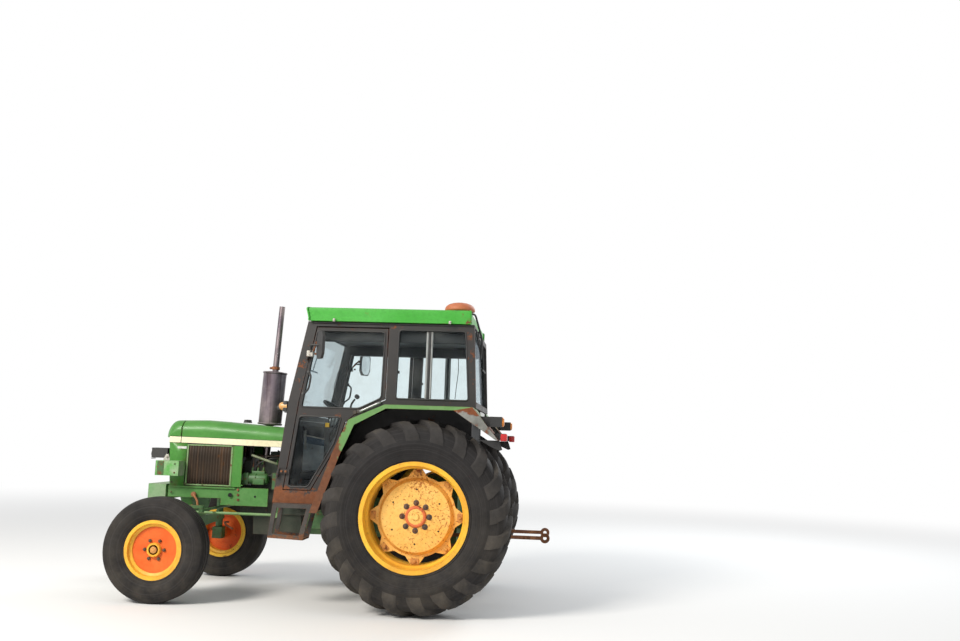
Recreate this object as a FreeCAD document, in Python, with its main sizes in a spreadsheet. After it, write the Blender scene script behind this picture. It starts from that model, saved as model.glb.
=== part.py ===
"""Farm tractor with a cab: a parametric model in millimetres.

x runs forward, y to the left, z up from the ground. Sizes along x are given from the rear
axle, and axle_x then puts the middle of the tractor's length at x = 0.
"""
import FreeCAD, Part
import math
import os

import Sketcher

# Name, millimetres (or degrees, or a count), what it is
SIZES = [
    ("wheelbase", 1991, "rear axle to front axle"),
    ("seat_gap", 0.3, "gap between a curved face and its seat"),
    ("bearing_gap", 0.05, "radial play of a shaft in its bore"),
    ("door_gap", 7, "gap round a door"),

    ("rear_tyre_r", 720, "rear tyre, over the lugs"),
    ("rear_tyre_w", 430, "rear tyre section width"),
    ("rear_track", 1500, "between the rear tyres' middles"),
    ("rear_bead_r", 381, "30 inch bead seat"),
    ("rear_flange_r", 406.5, "rear rim flange"),
    ("rear_rim_w", 380, "between the rear rim flanges"),
    ("rear_well_r", 360, "rear rim well"),
    ("rear_rim_t", 6, "rear rim plate"),
    ("rear_disc_out", 70, "disc face outboard of the tyre's middle"),
    ("rear_disc_r", 259, "flat face of the rear disc"),
    ("rear_disc_t", 12, "rear disc plate"),
    ("rear_disc_step", 40, "disc flange behind its face"),
    ("rear_disc_flange_r", 300, "disc flange between the lobes"),
    ("lobe_root_w", 150, "disc lobe at its root"),
    ("lobe_tip_w", 56, "disc lobe at its tip"),
    ("lobe_count", 8, "disc lobes"),
    ("rear_stud_circle", 203.2, "rear wheel stud circle"),
    ("rear_stud_r", 9, "rear wheel stud"),
    ("rear_nut_r", 14, "rear wheel nut"),
    ("rear_hub_flange_r", 130, "rear axle flange"),
    ("rear_hub_flange_t", 14, "rear axle flange"),
    ("rear_shaft_r", 38, "rear axle shaft"),
    ("rear_shaft_in", 100, "axle shaft inside its housing"),
    ("rear_hub_cap_r", 76, "raised ring in the middle of the disc"),

    ("front_tyre_r", 395, "front tyre"),
    ("front_tyre_w", 205, "front tyre section width"),
    ("front_track", 1480, "between the front tyres' middles"),
    ("front_bead_r", 203, "16 inch bead seat"),
    ("front_flange_r", 223.5, "front rim flange"),
    ("front_rim_w", 140, "between the front rim flanges"),
    ("front_well_r", 178, "front rim well"),
    ("front_rim_t", 5, "front rim plate"),
    ("front_disc_out", 34, "front disc outboard of the tyre's middle"),
    ("front_disc_t", 8, "front disc plate"),
    ("front_stud_circle", 152.4, "front wheel stud circle"),
    ("front_nut_r", 11, "front wheel nut"),
    ("front_hub_r", 58, "front hub barrel"),
    ("front_cap_r", 50, "front hub cap"),
    ("front_cap_out", 22, "hub cap outboard of the disc"),
    ("spindle_r", 22, "front wheel spindle"),
    ("nut_h", 14, "wheel nut height"),

    ("kingpin_y", 585, "kingpin from the middle"),
    ("kingpin_r", 20, "kingpin"),
    ("kingpin_tube_r", 31, "kingpin tube on the front axle"),
    ("kingpin_tube_low", 452, "underside of the kingpin tube"),
    ("kingpin_tube_top", 700, "top of the kingpin tube"),
    ("knuckle_block", 44, "half size of the knuckle's block"),
    ("arm_t", 22, "steering arm plate"),
    ("arm_w", 44, "steering arm width"),
    ("drag_arm", 245, "kingpin to the drag link's ball"),
    ("tie_arm", 270, "kingpin to the tie rod's ball"),
    ("ball_pin_r", 9, "ball pin"),
    ("rod_r", 11, "steering rod"),
    ("rod_end_r", 21, "ball joint housing"),
    ("rod_end_h", 30, "ball joint housing height"),
    ("drag_link_z", 650, "drag link from the ground"),
    ("tie_rod_z", 684, "tie rod from the ground"),
    ("drop_arm_x", 1200, "drop arm's shaft"),
    ("drop_arm_t", 20, "drop arm plate"),
    ("drop_shaft_r", 16, "drop arm's shaft"),
    ("steering_gear_low", 850, "steering gear housing, underside"),
    ("steering_gear_h", 130, "steering gear housing height"),
    ("steering_gear_l", 120, "steering gear housing length"),

    ("beam_w", 90, "front axle beam width"),
    ("beam_low", 500, "front axle beam, underside"),
    ("beam_top", 592, "front axle beam, top"),
    ("beam_drop", 26, "taper of the beam towards its ends"),
    ("pivot_half_w", 110, "axle pivot bracket half width"),

    ("rail_y", 275, "outer face of the front support's cheeks"),
    ("rail_t", 26, "cheek thickness"),
    ("rail_top", 852, "top of the front support"),
    ("rail_low", 762, "underside of the front support"),
    ("rail_deep", 708, "underside of the deep part"),
    ("rail_front_x", 2130, "front of the front support"),
    ("rail_notch_x", 1686, "start of the deep part"),
    ("rail_joint_x", 1568, "joint of cheek and engine plate"),
    ("rail_end_x", 1294, "rear end of the engine plate"),
    ("plate_t", 20, "engine side plate"),
    ("ballast_rear_x", 2174, "rear face of the front ballast"),
    ("ballast_front_x", 2323, "front face of the front ballast"),
    ("ballast_y", 220, "half width of the front ballast"),
    ("ballast_low", 734, "underside of the front ballast"),
    ("ballast_top", 858, "top of the front ballast"),
    ("tongue_y", 150, "half width of the ballast bracket"),
    ("ledge_t", 12, "ledge that carries the panels"),
    ("tongue_low", 756, "underside of the ballast bracket"),

    ("block_rear_x", 1000, "engine block, flywheel end"),
    ("block_front_x", 1505, "engine block, timing end"),
    ("block_y", 135, "half width of the block"),
    ("block_low", 640, "underside of the block"),
    ("block_top", 960, "top of the block"),
    ("head_y", 118, "half width of the cylinder head"),
    ("head_top", 1068, "top of the cylinder head"),
    ("cover_y", 84, "half width of the rocker cover"),
    ("cover_top", 1150, "top of the rocker cover"),
    ("sump_y", 118, "half width of the sump"),
    ("sump_low", 470, "underside of the sump"),
    ("timing_t", 50, "timing cover"),
    ("crank_z", 690, "crankshaft from the ground"),
    ("crank_pulley_r", 82, "crankshaft pulley"),
    ("pulley_t", 28, "pulley width"),
    ("fan_z", 1000, "fan shaft from the ground"),
    ("fan_r", 205, "fan blades"),
    ("fan_pulley_r", 55, "fan pulley"),
    ("fan_shaft_r", 14, "fan shaft"),
    ("fan_shaft_l", 62, "fan shaft out of the engine"),
    ("blade_count", 6, "fan blades"),
    ("blade_w", 74, "fan blade width"),
    ("blade_t", 4, "fan blade plate"),
    ("blade_pitch", 28, "fan blade pitch, degrees"),

    ("radiator_rear_x", 1640, "rear face of the radiator"),
    ("radiator_t", 90, "radiator thickness"),
    ("radiator_y", 232, "half width of the radiator"),
    ("radiator_top", 1275, "top of the radiator"),

    ("hood_front_x", 2046, "seam of hood and nose"),
    ("hood_y", 292, "half width of the hood"),
    ("hood_shoulder_r", 95, "shoulder of the hood"),
    ("hood_rear_z", 1343, "top of the hood at its rear"),
    ("hood_high_x", 1850, "highest place of the hood"),
    ("hood_high_z", 1392, "top of the hood there"),
    ("hood_front_z", 1386, "top of the hood at the seam"),
    ("hood_low_rear_z", 1187, "lower edge of the hood at its rear"),
    ("hood_low_front_z", 1203, "lower edge of the hood at its front"),
    ("sheet_t", 5, "hood and nose sheet"),
    ("seam_gap", 4, "gap between panels"),

    ("nose_x", 2146, "front edge of the nose's side"),
    ("nose_low_x", 2120, "that edge at its lower end"),
    ("nose_peak_x", 2232, "front of the nose's top"),
    ("nose_peak_z", 1341, "height there"),
    ("nose_rear_x", 1990, "rear edge of the nose's side, top"),
    ("nose_rear_low_x", 1999, "rear edge of the nose's side, foot"),
    ("nose_brow_z", 1246, "lower edge of the nose's brow"),
    ("grille_in", 22, "grille behind the nose's front edge"),
    ("grille_t", 12, "grille plate"),
    ("grille_bar_w", 9, "grille bar"),
    ("grille_bar_count", 17, "grille bars"),

    ("screen_top_front_x", 1982, "side screen, top front"),
    ("screen_low_front_x", 1991, "side screen, bottom front"),
    ("screen_top_rear_x", 1600, "side screen, top rear"),
    ("screen_low_rear_x", 1612, "side screen, bottom rear"),
    ("screen_low", 859, "underside of the side screen"),
    ("screen_t", 14, "side screen thickness"),
    ("screen_frame_w", 11, "side screen frame"),
    ("rib_count", 12, "ribs in the side screen"),
    ("post_front_x", 1594, "green panel behind the screen, front"),
    ("post_rear_x", 1520, "green panel behind the screen, rear"),
    ("post_t", 10, "green panel plate"),

    ("headlamp_rear_x", 1998, "rear of the side headlamp"),
    ("headlamp_front_x", 2188, "front of the side headlamp"),
    ("headlamp_low", 936, "underside of the side headlamp"),
    ("headlamp_top", 1054, "top of the side headlamp"),
    ("headlamp_w", 130, "side headlamp width"),
    ("bezel_t", 12, "lamp bezel"),
    ("work_lamp_rear_x", 2170, "rear of the upper lamp"),
    ("work_lamp_front_x", 2303, "front of the upper lamp"),
    ("work_lamp_low", 1071, "underside of the upper lamp"),
    ("work_lamp_top", 1152, "top of the upper lamp"),
    ("work_lamp_y", 195, "upper lamp from the middle"),
    ("work_lamp_w", 120, "upper lamp width"),

    ("exhaust_x", 1414, "foot of the exhaust"),
    ("exhaust_lean", 2.6, "backward lean of the exhaust, degrees"),
    ("muffler_r", 101, "muffler"),
    ("muffler_low", 1376, "underside of the muffler"),
    ("muffler_top", 1812, "top of the muffler"),
    ("stack_r", 24, "exhaust stack"),
    ("stack_wall", 3, "exhaust stack wall"),
    ("stack_top", 2402, "top of the exhaust stack"),
    ("downpipe_r", 30, "exhaust pipe under the hood"),
    ("manifold_z", 1020, "exhaust manifold"),
    ("manifold_r", 34, "exhaust manifold"),

    ("cab_y", 700, "outer face of the cab's sides"),
    ("cab_t", 45, "cab frame member"),
    ("door_t", 34, "door frame thickness"),
    ("glass_t", 5, "window glass"),
    ("glass_gap", 0.5, "glass in its rebate"),
    ("top_rail_h", 46, "top rail height"),
    ("cross_w", 50, "cross member width"),
    ("floor_top", 866, "cab floor"),
    ("floor_t", 6, "cab floor plate"),
    ("floor_front_x", 1060, "front edge of the cab floor"),
    ("inner_wall_y", 500, "inner wall beside the rear wheel"),
    ("wall_t", 6, "cab wall sheet"),
    ("fender_y", 900, "outer edge of the fender"),
    ("fender_t", 8, "fender sheet"),
    ("fender_lip", 30, "rim of the fender"),

    ("roof_y", 742, "half width of the roof"),
    ("roof_low", 2181, "lower edge of the roof"),
    ("roof_top", 2290, "top of the roof's side"),
    ("roof_crown", 16, "crown of the roof"),
    ("roof_front_x", 946, "front of the roof"),
    ("roof_front_low_x", 921, "front of the roof, lower edge"),
    ("roof_rear_x", -362, "rear of the roof"),
    ("roof_round", 14, "rounding of the roof's edges"),
    ("cap_x", -223, "roof vent cap"),
    ("cap_y", 300, "roof vent cap from the middle"),
    ("cap_r", 124, "roof vent cap"),
    ("cap_h", 62, "dome of the roof vent cap"),
    ("cap_neck_r", 92, "neck of the roof vent cap"),

    ("step_y", 780, "outer face of the step"),
    ("step_w", 190, "tread, across"),
    ("step_strap", 32, "step frame bar"),
    ("sill_low", 776, "underside of the sill"),

    ("seat_x", 330, "middle of the seat"),
    ("seat_w", 450, "seat width"),
    ("seat_l", 430, "seat length"),
    ("seat_z", 1290, "top of the seat cushion"),
    ("cushion_h", 100, "seat cushion"),
    ("back_h", 360, "seat back height"),
    ("back_t", 90, "seat back"),
    ("wheel_x", 760, "middle of the steering wheel"),
    ("wheel_z", 1470, "steering wheel height"),
    ("wheel_r", 205, "steering wheel"),
    ("wheel_rim_r", 13, "steering wheel's rim"),
    ("wheel_tilt", 30, "steering wheel from level, degrees"),
    ("dash_rear_x", 850, "rear face of the console"),
    ("dash_y", 190, "half width of the console"),
    ("dash_top", 1372, "top of the console"),
    ("tunnel_y", 215, "half width of the gearbox tunnel"),
    ("tunnel_top", 990, "top of the gearbox tunnel"),
    ("deck_top", 1120, "raised floor under the seat"),
    ("deck_front_x", 480, "front of the raised floor"),
    ("base_h", 70, "seat base"),
    ("column_r", 24, "steering column"),
    ("wheel_hub_r", 32, "steering wheel's hub"),
    ("wheel_hub_h", 30, "steering wheel's hub height"),
    ("spoke_r", 8, "steering wheel spoke"),
    ("spoke_count", 3, "steering wheel spokes"),
    ("lever_r", 8, "lever rod"),
    ("knob_r", 19, "lever knob"),

    ("gearbox_rear_x", -250, "rear face of the axle centre"),
    ("gearbox_mid_x", 240, "front of the axle centre"),
    ("centre_y", 205, "half width of the axle centre"),
    ("centre_low", 470, "underside of the axle centre"),
    ("centre_top", 930, "top of the axle centre"),
    ("gearbox_y", 165, "half width of the gearbox"),
    ("gearbox_low", 490, "underside of the gearbox"),
    ("gearbox_top", 860, "top of the gearbox"),
    ("housing_root_r", 135, "axle housing at its root"),
    ("housing_tip_r", 88, "axle housing at its tip"),
    ("housing_tip_y", 700, "outer end of the axle housing"),
    ("lift_top", 1010, "top of the lift housing"),

    ("link_x", -170, "lower link pivots and lift shaft"),
    ("link_z", 545, "lower link pivot"),
    ("link_y", 245, "lower link from the middle"),
    ("link_l", 790, "lower link, eye to eye"),
    ("link_eye_r", 38, "lower link eye"),
    ("link_hole_r", 14.3, "lower link ball hole"),
    ("link_t", 26, "lower link plate"),
    ("link_h", 54, "lower link height"),
    ("link_pin_r", 14, "lower link pivot pin"),
    ("lift_z", 950, "lift shaft"),
    ("lift_y", 300, "lift arm from the middle"),
    ("lift_l", 270, "lift arm, shaft to eye"),
    ("lift_t", 26, "lift arm plate"),
    ("lift_shaft_r", 28, "lift shaft"),
    ("lift_rod_r", 14, "lift rod"),
    ("pto_z", 620, "take-off shaft"),
    ("pto_r", 17.46, "take-off shaft"),
    ("pto_l", 90, "take-off shaft, out of its seat"),
    ("guard_t", 6, "take-off guard plate"),
    ("guard_w", 240, "take-off guard width"),
    ("guard_l", 130, "take-off guard length"),
    ("drawbar_z", 400, "drawbar, middle of its height"),
    ("drawbar_t", 30, "drawbar thickness"),
    ("drawbar_w", 64, "drawbar width"),
    ("drawbar_l", 640, "drawbar length"),
    ("drawbar_hole_r", 15, "drawbar pin hole"),
    ("drawbar_rear_x", -560, "rear end of the drawbar"),
    ("top_link_z", 845, "top link bracket eye"),
    ("top_link_hole_r", 9.6, "top link bracket hole"),

    ("lamp_y", 795, "tail lamp from the middle"),
    ("hinge_r", 11, "door hinge barrel"),
    ("hinge_pin_r", 5, "door hinge pin"),
    ("hinge_h", 46, "door hinge barrel height"),
    ("hinge_out", 20, "door hinge line outboard of the cab's side"),
    ("strap_h", 32, "hinge strap height"),
    ("strap_t", 8, "hinge strap thickness"),
    ("strap_foot", 22, "hinge strap's seat on the door"),
    ("mirror_x", 770, "middle of the mirror"),
    ("mirror_y", 850, "middle of the mirror"),
    ("mirror_z", 1980, "middle of the mirror"),
    ("mirror_w", 120, "mirror width"),
    ("mirror_h", 210, "mirror height"),
    ("mirror_t", 22, "mirror thickness"),
    ("mirror_turn", 35, "mirror turned in towards the driver, degrees"),
    ("mirror_arm_r", 7, "mirror arm"),
    ("lamp_w", 80, "tail lamp, across"),
    ("turn_lamp_rear_x", -621, "rear face of the turn lamp"),
    ("turn_lamp_front_x", -530, "front face of the turn lamp"),
    ("turn_lamp_low", 1400, "underside of the turn lamp"),
    ("turn_lamp_top", 1476, "top of the turn lamp"),
    ("red_lamp_rear_x", -654, "rear face of the red lamp"),
    ("red_lamp_front_x", -605, "front face of the red lamp"),
    ("red_lamp_low", 1304, "underside of the red lamp"),
    ("red_lamp_top", 1352, "top of the red lamp"),
]

# Name, x, z: corners of the cab's side, seen from the left
POINTS = [
    ("foot", 1128, 776),
    ("waist", 1047, 1560),
    ("brow", 927, 2181),
    ("tail_brow", -380, 2181),
    ("tail_waist", -412, 1540),
    ("way_brow", 858, 2141),
    ("way_waist", 968, 1560),
    ("way_foot", 1054, 872),
    ("way_rear_foot", 836, 872),
    ("way_low", 640, 1232),
    ("way_mid", 592, 1396),
    ("way_high", 480, 1496),
    ("way_rear", 288, 1582),
    ("way_rear_brow", 284, 2141),
    ("pane_brow", 873, 2128),
    ("side_front_top", 204, 2128),
    ("side_rear_top", -315, 2128),
    ("side_rear_low", -352, 1594),
    ("side_front_low", 214, 1594),
    ("upper_front_top", 848, 2110),
    ("upper_front_low", 948, 1510),
    ("upper_diag", 496, 1510),
    ("upper_rear_low", 322, 1596),
    ("upper_rear_top", 314, 2110),
    ("lower_front_top", 957, 1440),
    ("lower_front_low", 1018, 900),
    ("lower_rear_low", 860, 900),
    ("lower_rear_mid", 670, 1246),
    ("lower_rear_top", 626, 1440),
    ("fender_high_rear", -400, 1540),
    ("fender_tail", -600, 1300),
    ("fender_high_front", 257, 1540),
    ("fender_knee", 526, 1420),
    ("fender_mid", 592, 1278),
    ("fender_front", 640, 1162),
    ("fender_foot", 786, 724),
    ("hinge_high", 908, 1922),
    ("hinge_low", 1089, 1014),
    ("step_front_top", 1100, 776),
    ("step_front_low", 1126, 519),
    ("step_rear_low", 855, 509),
    ("step_rear_top", 800, 776),
]


# Lever foot x, foot y, knob x, knob y, knob z
LEVERS = [(640, 70, 600, 90, 1250), (640, -70, 600, -110, 1230), (720, 130, 690, 150, 1180)]


class Size:
    """A number from the sheet that also knows the formula which ties it to its cells."""

    def __init__(self, number, formula):
        self.number = float(number)
        self.formula = formula

    def __add__(self, other):
        other = size(other)
        return Size(self.number + other.number, "(" + self.formula + " + " + other.formula + ")")

    def __sub__(self, other):
        other = size(other)
        return Size(self.number - other.number, "(" + self.formula + " - " + other.formula + ")")

    def __mul__(self, other):
        other = size(other)
        return Size(self.number * other.number, self.formula + " * " + other.formula)

    def __truediv__(self, other):
        other = size(other)
        return Size(self.number / other.number, self.formula + " / " + other.formula)

    def __neg__(self):
        return Size(-self.number, "(0 - " + self.formula + ")")

    def __rsub__(self, other):
        return size(other) - self

    __radd__ = __add__
    __rmul__ = __mul__


def size(value):
    """Any plain number as a Size."""
    return value if isinstance(value, Size) else Size(value, repr(float(value)))


doc = FreeCAD.newDocument("farm_tractor")
sheet = doc.addObject("Spreadsheet::Sheet", "sizes")


class Sizes:
    """Every cell of the sheet by its name."""


dim = Sizes()
cells = list(SIZES)
for name, x, z in POINTS:
    cells.append((name + "_x", x, name + ", along the tractor"))
    cells.append((name + "_z", z, name + ", from the ground"))
for row, (name, value, note) in enumerate(cells, start=1):
    sheet.set("A%d" % row, name)
    sheet.set("B%d" % row, str(value))
    sheet.set("C%d" % row, note)
    sheet.setAlias("B%d" % row, name)
doc.recompute()
for name, value, note in cells:
    setattr(dim, name, Size(getattr(sheet, name), "sizes." + name))

NODES = []
BACK_REACH = -dim.link_x + dim.link_l + dim.link_eye_r
FRONT_REACH = dim.wheelbase + dim.front_tyre_r
axle_x = (BACK_REACH - FRONT_REACH) / 2
half_rear = dim.rear_track / 2
half_front = dim.front_track / 2


def point(name):
    """A corner of the cab's side as a pair of sizes."""
    return getattr(dim, name + "_x"), getattr(dim, name + "_z")


def fender_line_x(z):
    """Where the fender's front sheet stands at a height."""
    slope = (dim.fender_foot_x - dim.fender_front_x) / (dim.fender_front_z - dim.fender_foot_z)
    return dim.fender_front_x + (dim.fender_front_z - z) * slope


def place(piece, x=0, y=0, z=0):
    """Bind a piece's place, x counted from the rear axle."""
    for axis, value in (("x", axle_x + x), ("y", size(y)), ("z", size(z))):
        piece.setExpression("Placement.Base." + axis, value.formula)


def node(piece, label):
    """Name a finished piece: its label names its file."""
    piece.Label = label
    NODES.append(piece)
    return piece


def new_body(name, x=0, y=0, z=0):
    body = doc.addObject("PartDesign::Body", name)
    place(body, x, y, z)
    return body


def draw(body, plane, offset, outline, circles=()):
    """A sketch on one of the body's own planes: a closed outline of lines, and circles (u, v, r)."""
    sketch = body.newObject("Sketcher::SketchObject", body.Name + "_sketch")
    origin_plane = [part for part in body.Origin.OriginFeatures if part.Role == plane][0]
    sketch.AttachmentSupport = [(origin_plane, "")]
    sketch.MapMode = "FlatFace"
    sketch.setExpression("AttachmentOffset.Base.z", size(offset).formula)
    corners = [(size(u), size(v)) for u, v in outline]
    spots = [FreeCAD.Vector(u.number, v.number, 0) for u, v in corners]
    for here, there in zip(spots, spots[1:] + spots[:1]):
        sketch.addGeometry(Part.LineSegment(here, there))
    for index in range(len(corners)):
        sketch.addConstraint(Sketcher.Constraint("Coincident", index, 2, (index + 1) % len(corners), 1))
    for index, (u, v) in enumerate(corners):
        for kind, value in (("DistanceX", u), ("DistanceY", v)):
            bound = sketch.addConstraint(Sketcher.Constraint(kind, index, 1, value.number))
            sketch.setExpression("Constraints[%d]" % bound, value.formula)
    for u, v, radius in circles:
        u, v, radius = size(u), size(v), size(radius)
        centre = FreeCAD.Vector(u.number, v.number, 0)
        ring = sketch.addGeometry(Part.Circle(centre, FreeCAD.Vector(0, 0, 1), radius.number))
        for kind, place_code, value in (("DistanceX", 3, u), ("DistanceY", 3, v)):
            bound = sketch.addConstraint(Sketcher.Constraint(kind, ring, place_code, value.number))
            sketch.setExpression("Constraints[%d]" % bound, value.formula)
        bound = sketch.addConstraint(Sketcher.Constraint("Radius", ring, radius.number))
        sketch.setExpression("Constraints[%d]" % bound, radius.formula)
    return sketch


def pad(body, sketch, length):
    feature = body.newObject("PartDesign::Pad", body.Name + "_pad")
    feature.Profile = sketch
    feature.setExpression("Length", size(length).formula)
    return feature


def pocket(body, sketch, length):
    """Cut along the sketch's own normal, the way its pad runs."""
    feature = body.newObject("PartDesign::Pocket", body.Name + "_pocket")
    feature.Profile = sketch
    feature.setExpression("Length", size(length).formula)
    feature.Reversed = True
    return feature


def plate(name, outline, outer_y, thickness, windows=(), **at):
    """A plate in the tractor's side view, from outer_y inwards, with windows cut through."""
    body = new_body(name, **at)
    pad(body, draw(body, "XZ_Plane", -size(outer_y), outline), thickness)
    for window in windows:
        pocket(body, draw(body, "XZ_Plane", -size(outer_y), window), thickness)
    return body


def rail(name, outline, start_x, length, **at):
    """A bar along the tractor with its section (y, z) given."""
    body = new_body(name, **at)
    pad(body, draw(body, "YZ_Plane", start_x, outline), length)
    return body


def slab(name, outline, low_z, height, circles=(), **at):
    """A flat piece seen from above, with its outline (x, y) and round holes given."""
    body = new_body(name, **at)
    pad(body, draw(body, "XY_Plane", low_z, outline, circles), height)
    return body


def turned(name, section, **at):
    """A ring turned about the y axis from its section (y, radius)."""
    body = new_body(name, **at)
    sketch = draw(body, "YZ_Plane", 0, section)
    feature = body.newObject("PartDesign::Revolution", name + "_turn")
    feature.Profile = sketch
    feature.ReferenceAxis = (sketch, ["H_Axis"])
    feature.Angle = 360
    return body


def box(name, low, high):
    """A block between two corners."""
    piece = doc.addObject("Part::Box", name)
    low = [size(value) for value in low]
    high = [size(value) for value in high]
    for side, a, b in zip(("Length", "Width", "Height"), low, high):
        piece.setExpression(side, (b - a).formula)
    place(piece, *low)
    return piece


def bar(name, start, end, radius, hole=None):
    """A round bar, or a tube, between two places."""
    start = [size(value) for value in start]
    end = [size(value) for value in end]
    way = FreeCAD.Vector(*[b.number - a.number for a, b in zip(start, end)])
    squares = ["(" + (b - a).formula + ")^2" for a, b in zip(start, end)]
    piece = doc.addObject("Part::Cylinder", name)
    piece.setExpression("Radius", size(radius).formula)
    piece.setExpression("Height", "sqrt(" + " + ".join(squares) + ")")
    piece.Placement.Rotation = FreeCAD.Rotation(FreeCAD.Vector(0, 0, 1), way)
    place(piece, *start)
    if hole is not None:
        piece = cut(name + "_tube", piece, bar(name + "_hole", start, end, hole))
    return piece


def cut(name, base, tool):
    piece = doc.addObject("Part::Cut", name)
    piece.Base = base
    piece.Tool = tool
    return piece


def fuse(name, pieces, refine=True):
    """One solid out of pieces that are welded or cast together, its flush faces joined."""
    piece = doc.addObject("Part::MultiFuse", name)
    piece.Shapes = pieces
    piece.Refine = refine
    return piece


def group(name, pieces):
    """Pieces that share a node without touching."""
    piece = doc.addObject("Part::Compound", name)
    piece.Links = pieces
    return piece


def mirror(name, source):
    """The same piece on the tractor's other side."""
    piece = doc.addObject("Part::Mirroring", name)
    piece.Source = source
    piece.Base = FreeCAD.Vector(0, 0, 0)
    piece.Normal = FreeCAD.Vector(0, 1, 0)
    return piece


def both_sides(label, source):
    """A node for the left piece and one for its mirror image."""
    node(source, label + "_left")
    node(mirror(label + "_twin", source), label + "_right")


def rect(u0, v0, u1, v1):
    return [(u0, v0), (u1, v0), (u1, v1), (u0, v1)]


def rear_wheels():
    """Rear tyres, rims and discs: the tyre's middle lies at y = 0 of its own body."""
    at = {"y": half_rear, "z": dim.rear_tyre_r}
    half_rim = dim.rear_rim_w / 2
    half_tyre = dim.rear_tyre_w / 2
    seat = half_rim - dim.seat_gap
    # Share of the half width, height of the sidewall from bead (0) to tread (1)
    walls = [(0.93, 0.14), (1.0, 0.40), (0.98, 0.68), (0.90, 0.91), (0.52, 1.0)]
    rise = dim.rear_tyre_r - dim.rear_bead_r
    side = [(seat, dim.rear_bead_r + dim.seat_gap), (seat, dim.rear_flange_r + dim.seat_gap)]
    side += [(half_tyre * share, dim.rear_bead_r + rise * height) for share, height in walls]
    section = side + [(-y, r) for y, r in reversed(side)]
    both_sides("rear_tyre", turned("rear_tyre", section, **at))

    t = dim.rear_rim_t
    outer = [(half_rim + t, dim.rear_flange_r), (half_rim, dim.rear_flange_r),
             (half_rim, dim.rear_bead_r), (half_rim * 0.58, dim.rear_bead_r - t),
             (half_rim * 0.48, dim.rear_well_r)]
    inner = [(half_rim * 0.48 + t, dim.rear_well_r - t), (half_rim * 0.58 + t, dim.rear_bead_r - t * 2),
             (half_rim + t, dim.rear_bead_r - t)]
    section = outer + [(-y, r) for y, r in reversed(outer)]
    section += [(-y, r) for y, r in reversed(inner)] + inner
    both_sides("rear_rim", turned("rear_rim", section, **at))

    face = dim.rear_disc_out
    back = face - dim.rear_disc_step
    thick = dim.rear_disc_t
    hub_in = face - thick - dim.rear_hub_flange_t
    shaft_end = dim.housing_tip_y - half_rear - dim.rear_shaft_in
    section = [(shaft_end, 0), (shaft_end, dim.rear_shaft_r), (hub_in, dim.rear_shaft_r),
               (hub_in, dim.rear_hub_flange_r), (face - thick, dim.rear_hub_flange_r),
               (face - thick, dim.rear_disc_r - thick), (back - thick, dim.rear_disc_r + thick),
               (back - thick, dim.rear_disc_flange_r), (back, dim.rear_disc_flange_r),
               (back, dim.rear_disc_r + thick * 2), (face, dim.rear_disc_r),
               (face, dim.rear_hub_cap_r), (face + thick, dim.rear_hub_cap_r - thick),
               (face + thick, 0)]
    disc = turned("rear_disc", section, **at)
    half_tip = dim.lobe_tip_w / 2
    reach = dim.rear_well_r - t - dim.seat_gap
    tip_r = Size(math.sqrt(reach.number ** 2 - half_tip.number ** 2),
                 "sqrt(" + reach.formula + "^2 - (" + half_tip.formula + ")^2)")
    lobe = [(-dim.lobe_root_w / 2, dim.rear_disc_flange_r - thick),
            (dim.lobe_root_w / 2, dim.rear_disc_flange_r - thick),
            (half_tip, tip_r), (-half_tip, tip_r)]
    first = pad(disc, draw(disc, "XZ_Plane", -back, lobe), thick)
    ring = disc.newObject("PartDesign::PolarPattern", "rear_disc_lobes")
    ring.Originals = [first]
    ring.Axis = ([part for part in disc.Origin.OriginFeatures if part.Role == "Y_Axis"][0], [""])
    ring.Angle = 360
    ring.setExpression("Occurrences", dim.lobe_count.formula)
    disc.Tip = ring
    both_sides("rear_disc", disc)


def front_wheels():
    """Front tyres, rims and discs with their hubs."""
    at = {"x": dim.wheelbase, "y": half_front, "z": dim.front_tyre_r}
    half_rim = dim.front_rim_w / 2
    half_tyre = dim.front_tyre_w / 2
    seat = half_rim - dim.seat_gap
    walls = [(0.90, 0.20), (1.0, 0.48), (0.94, 0.74), (0.78, 0.95), (0.52, 1.0)]
    rise = dim.front_tyre_r - dim.front_bead_r
    side = [(seat, dim.front_bead_r + dim.seat_gap), (seat, dim.front_flange_r + dim.seat_gap)]
    side += [(half_tyre * share, dim.front_bead_r + rise * height) for share, height in walls]
    section = side + [(-y, r) for y, r in reversed(side)]
    both_sides("front_tyre", turned("front_tyre", section, **at))

    t = dim.front_rim_t
    outer = [(half_rim + t, dim.front_flange_r), (half_rim, dim.front_flange_r),
             (half_rim, dim.front_bead_r), (half_rim * 0.66, dim.front_bead_r - t),
             (half_rim * 0.52, dim.front_well_r)]
    inner = [(half_rim * 0.52 + t, dim.front_well_r - t), (half_rim * 0.66 + t, dim.front_bead_r - t * 2),
             (half_rim + t, dim.front_bead_r - t)]
    section = outer + [(-y, r) for y, r in reversed(outer)]
    section += [(-y, r) for y, r in reversed(inner)] + inner
    both_sides("front_rim", turned("front_rim", section, **at))

    face = dim.front_disc_out
    thick = dim.front_disc_t
    hub_in = dim.kingpin_y + dim.knuckle_block + dim.door_gap - half_front
    bore_end = face - thick
    bore_r = dim.spindle_r + dim.bearing_gap
    edge_r = dim.front_well_r - t - dim.seat_gap
    section = [(hub_in, bore_r), (hub_in, dim.front_hub_r), (face - thick, dim.front_hub_r),
               (face - thick, edge_r), (face, edge_r), (face, dim.front_cap_r),
               (face + dim.front_cap_out, dim.front_cap_r - thick), (face + dim.front_cap_out, 0),
               (bore_end, 0), (bore_end, bore_r)]
    both_sides("front_disc", turned("front_disc", section, **at))


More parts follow.
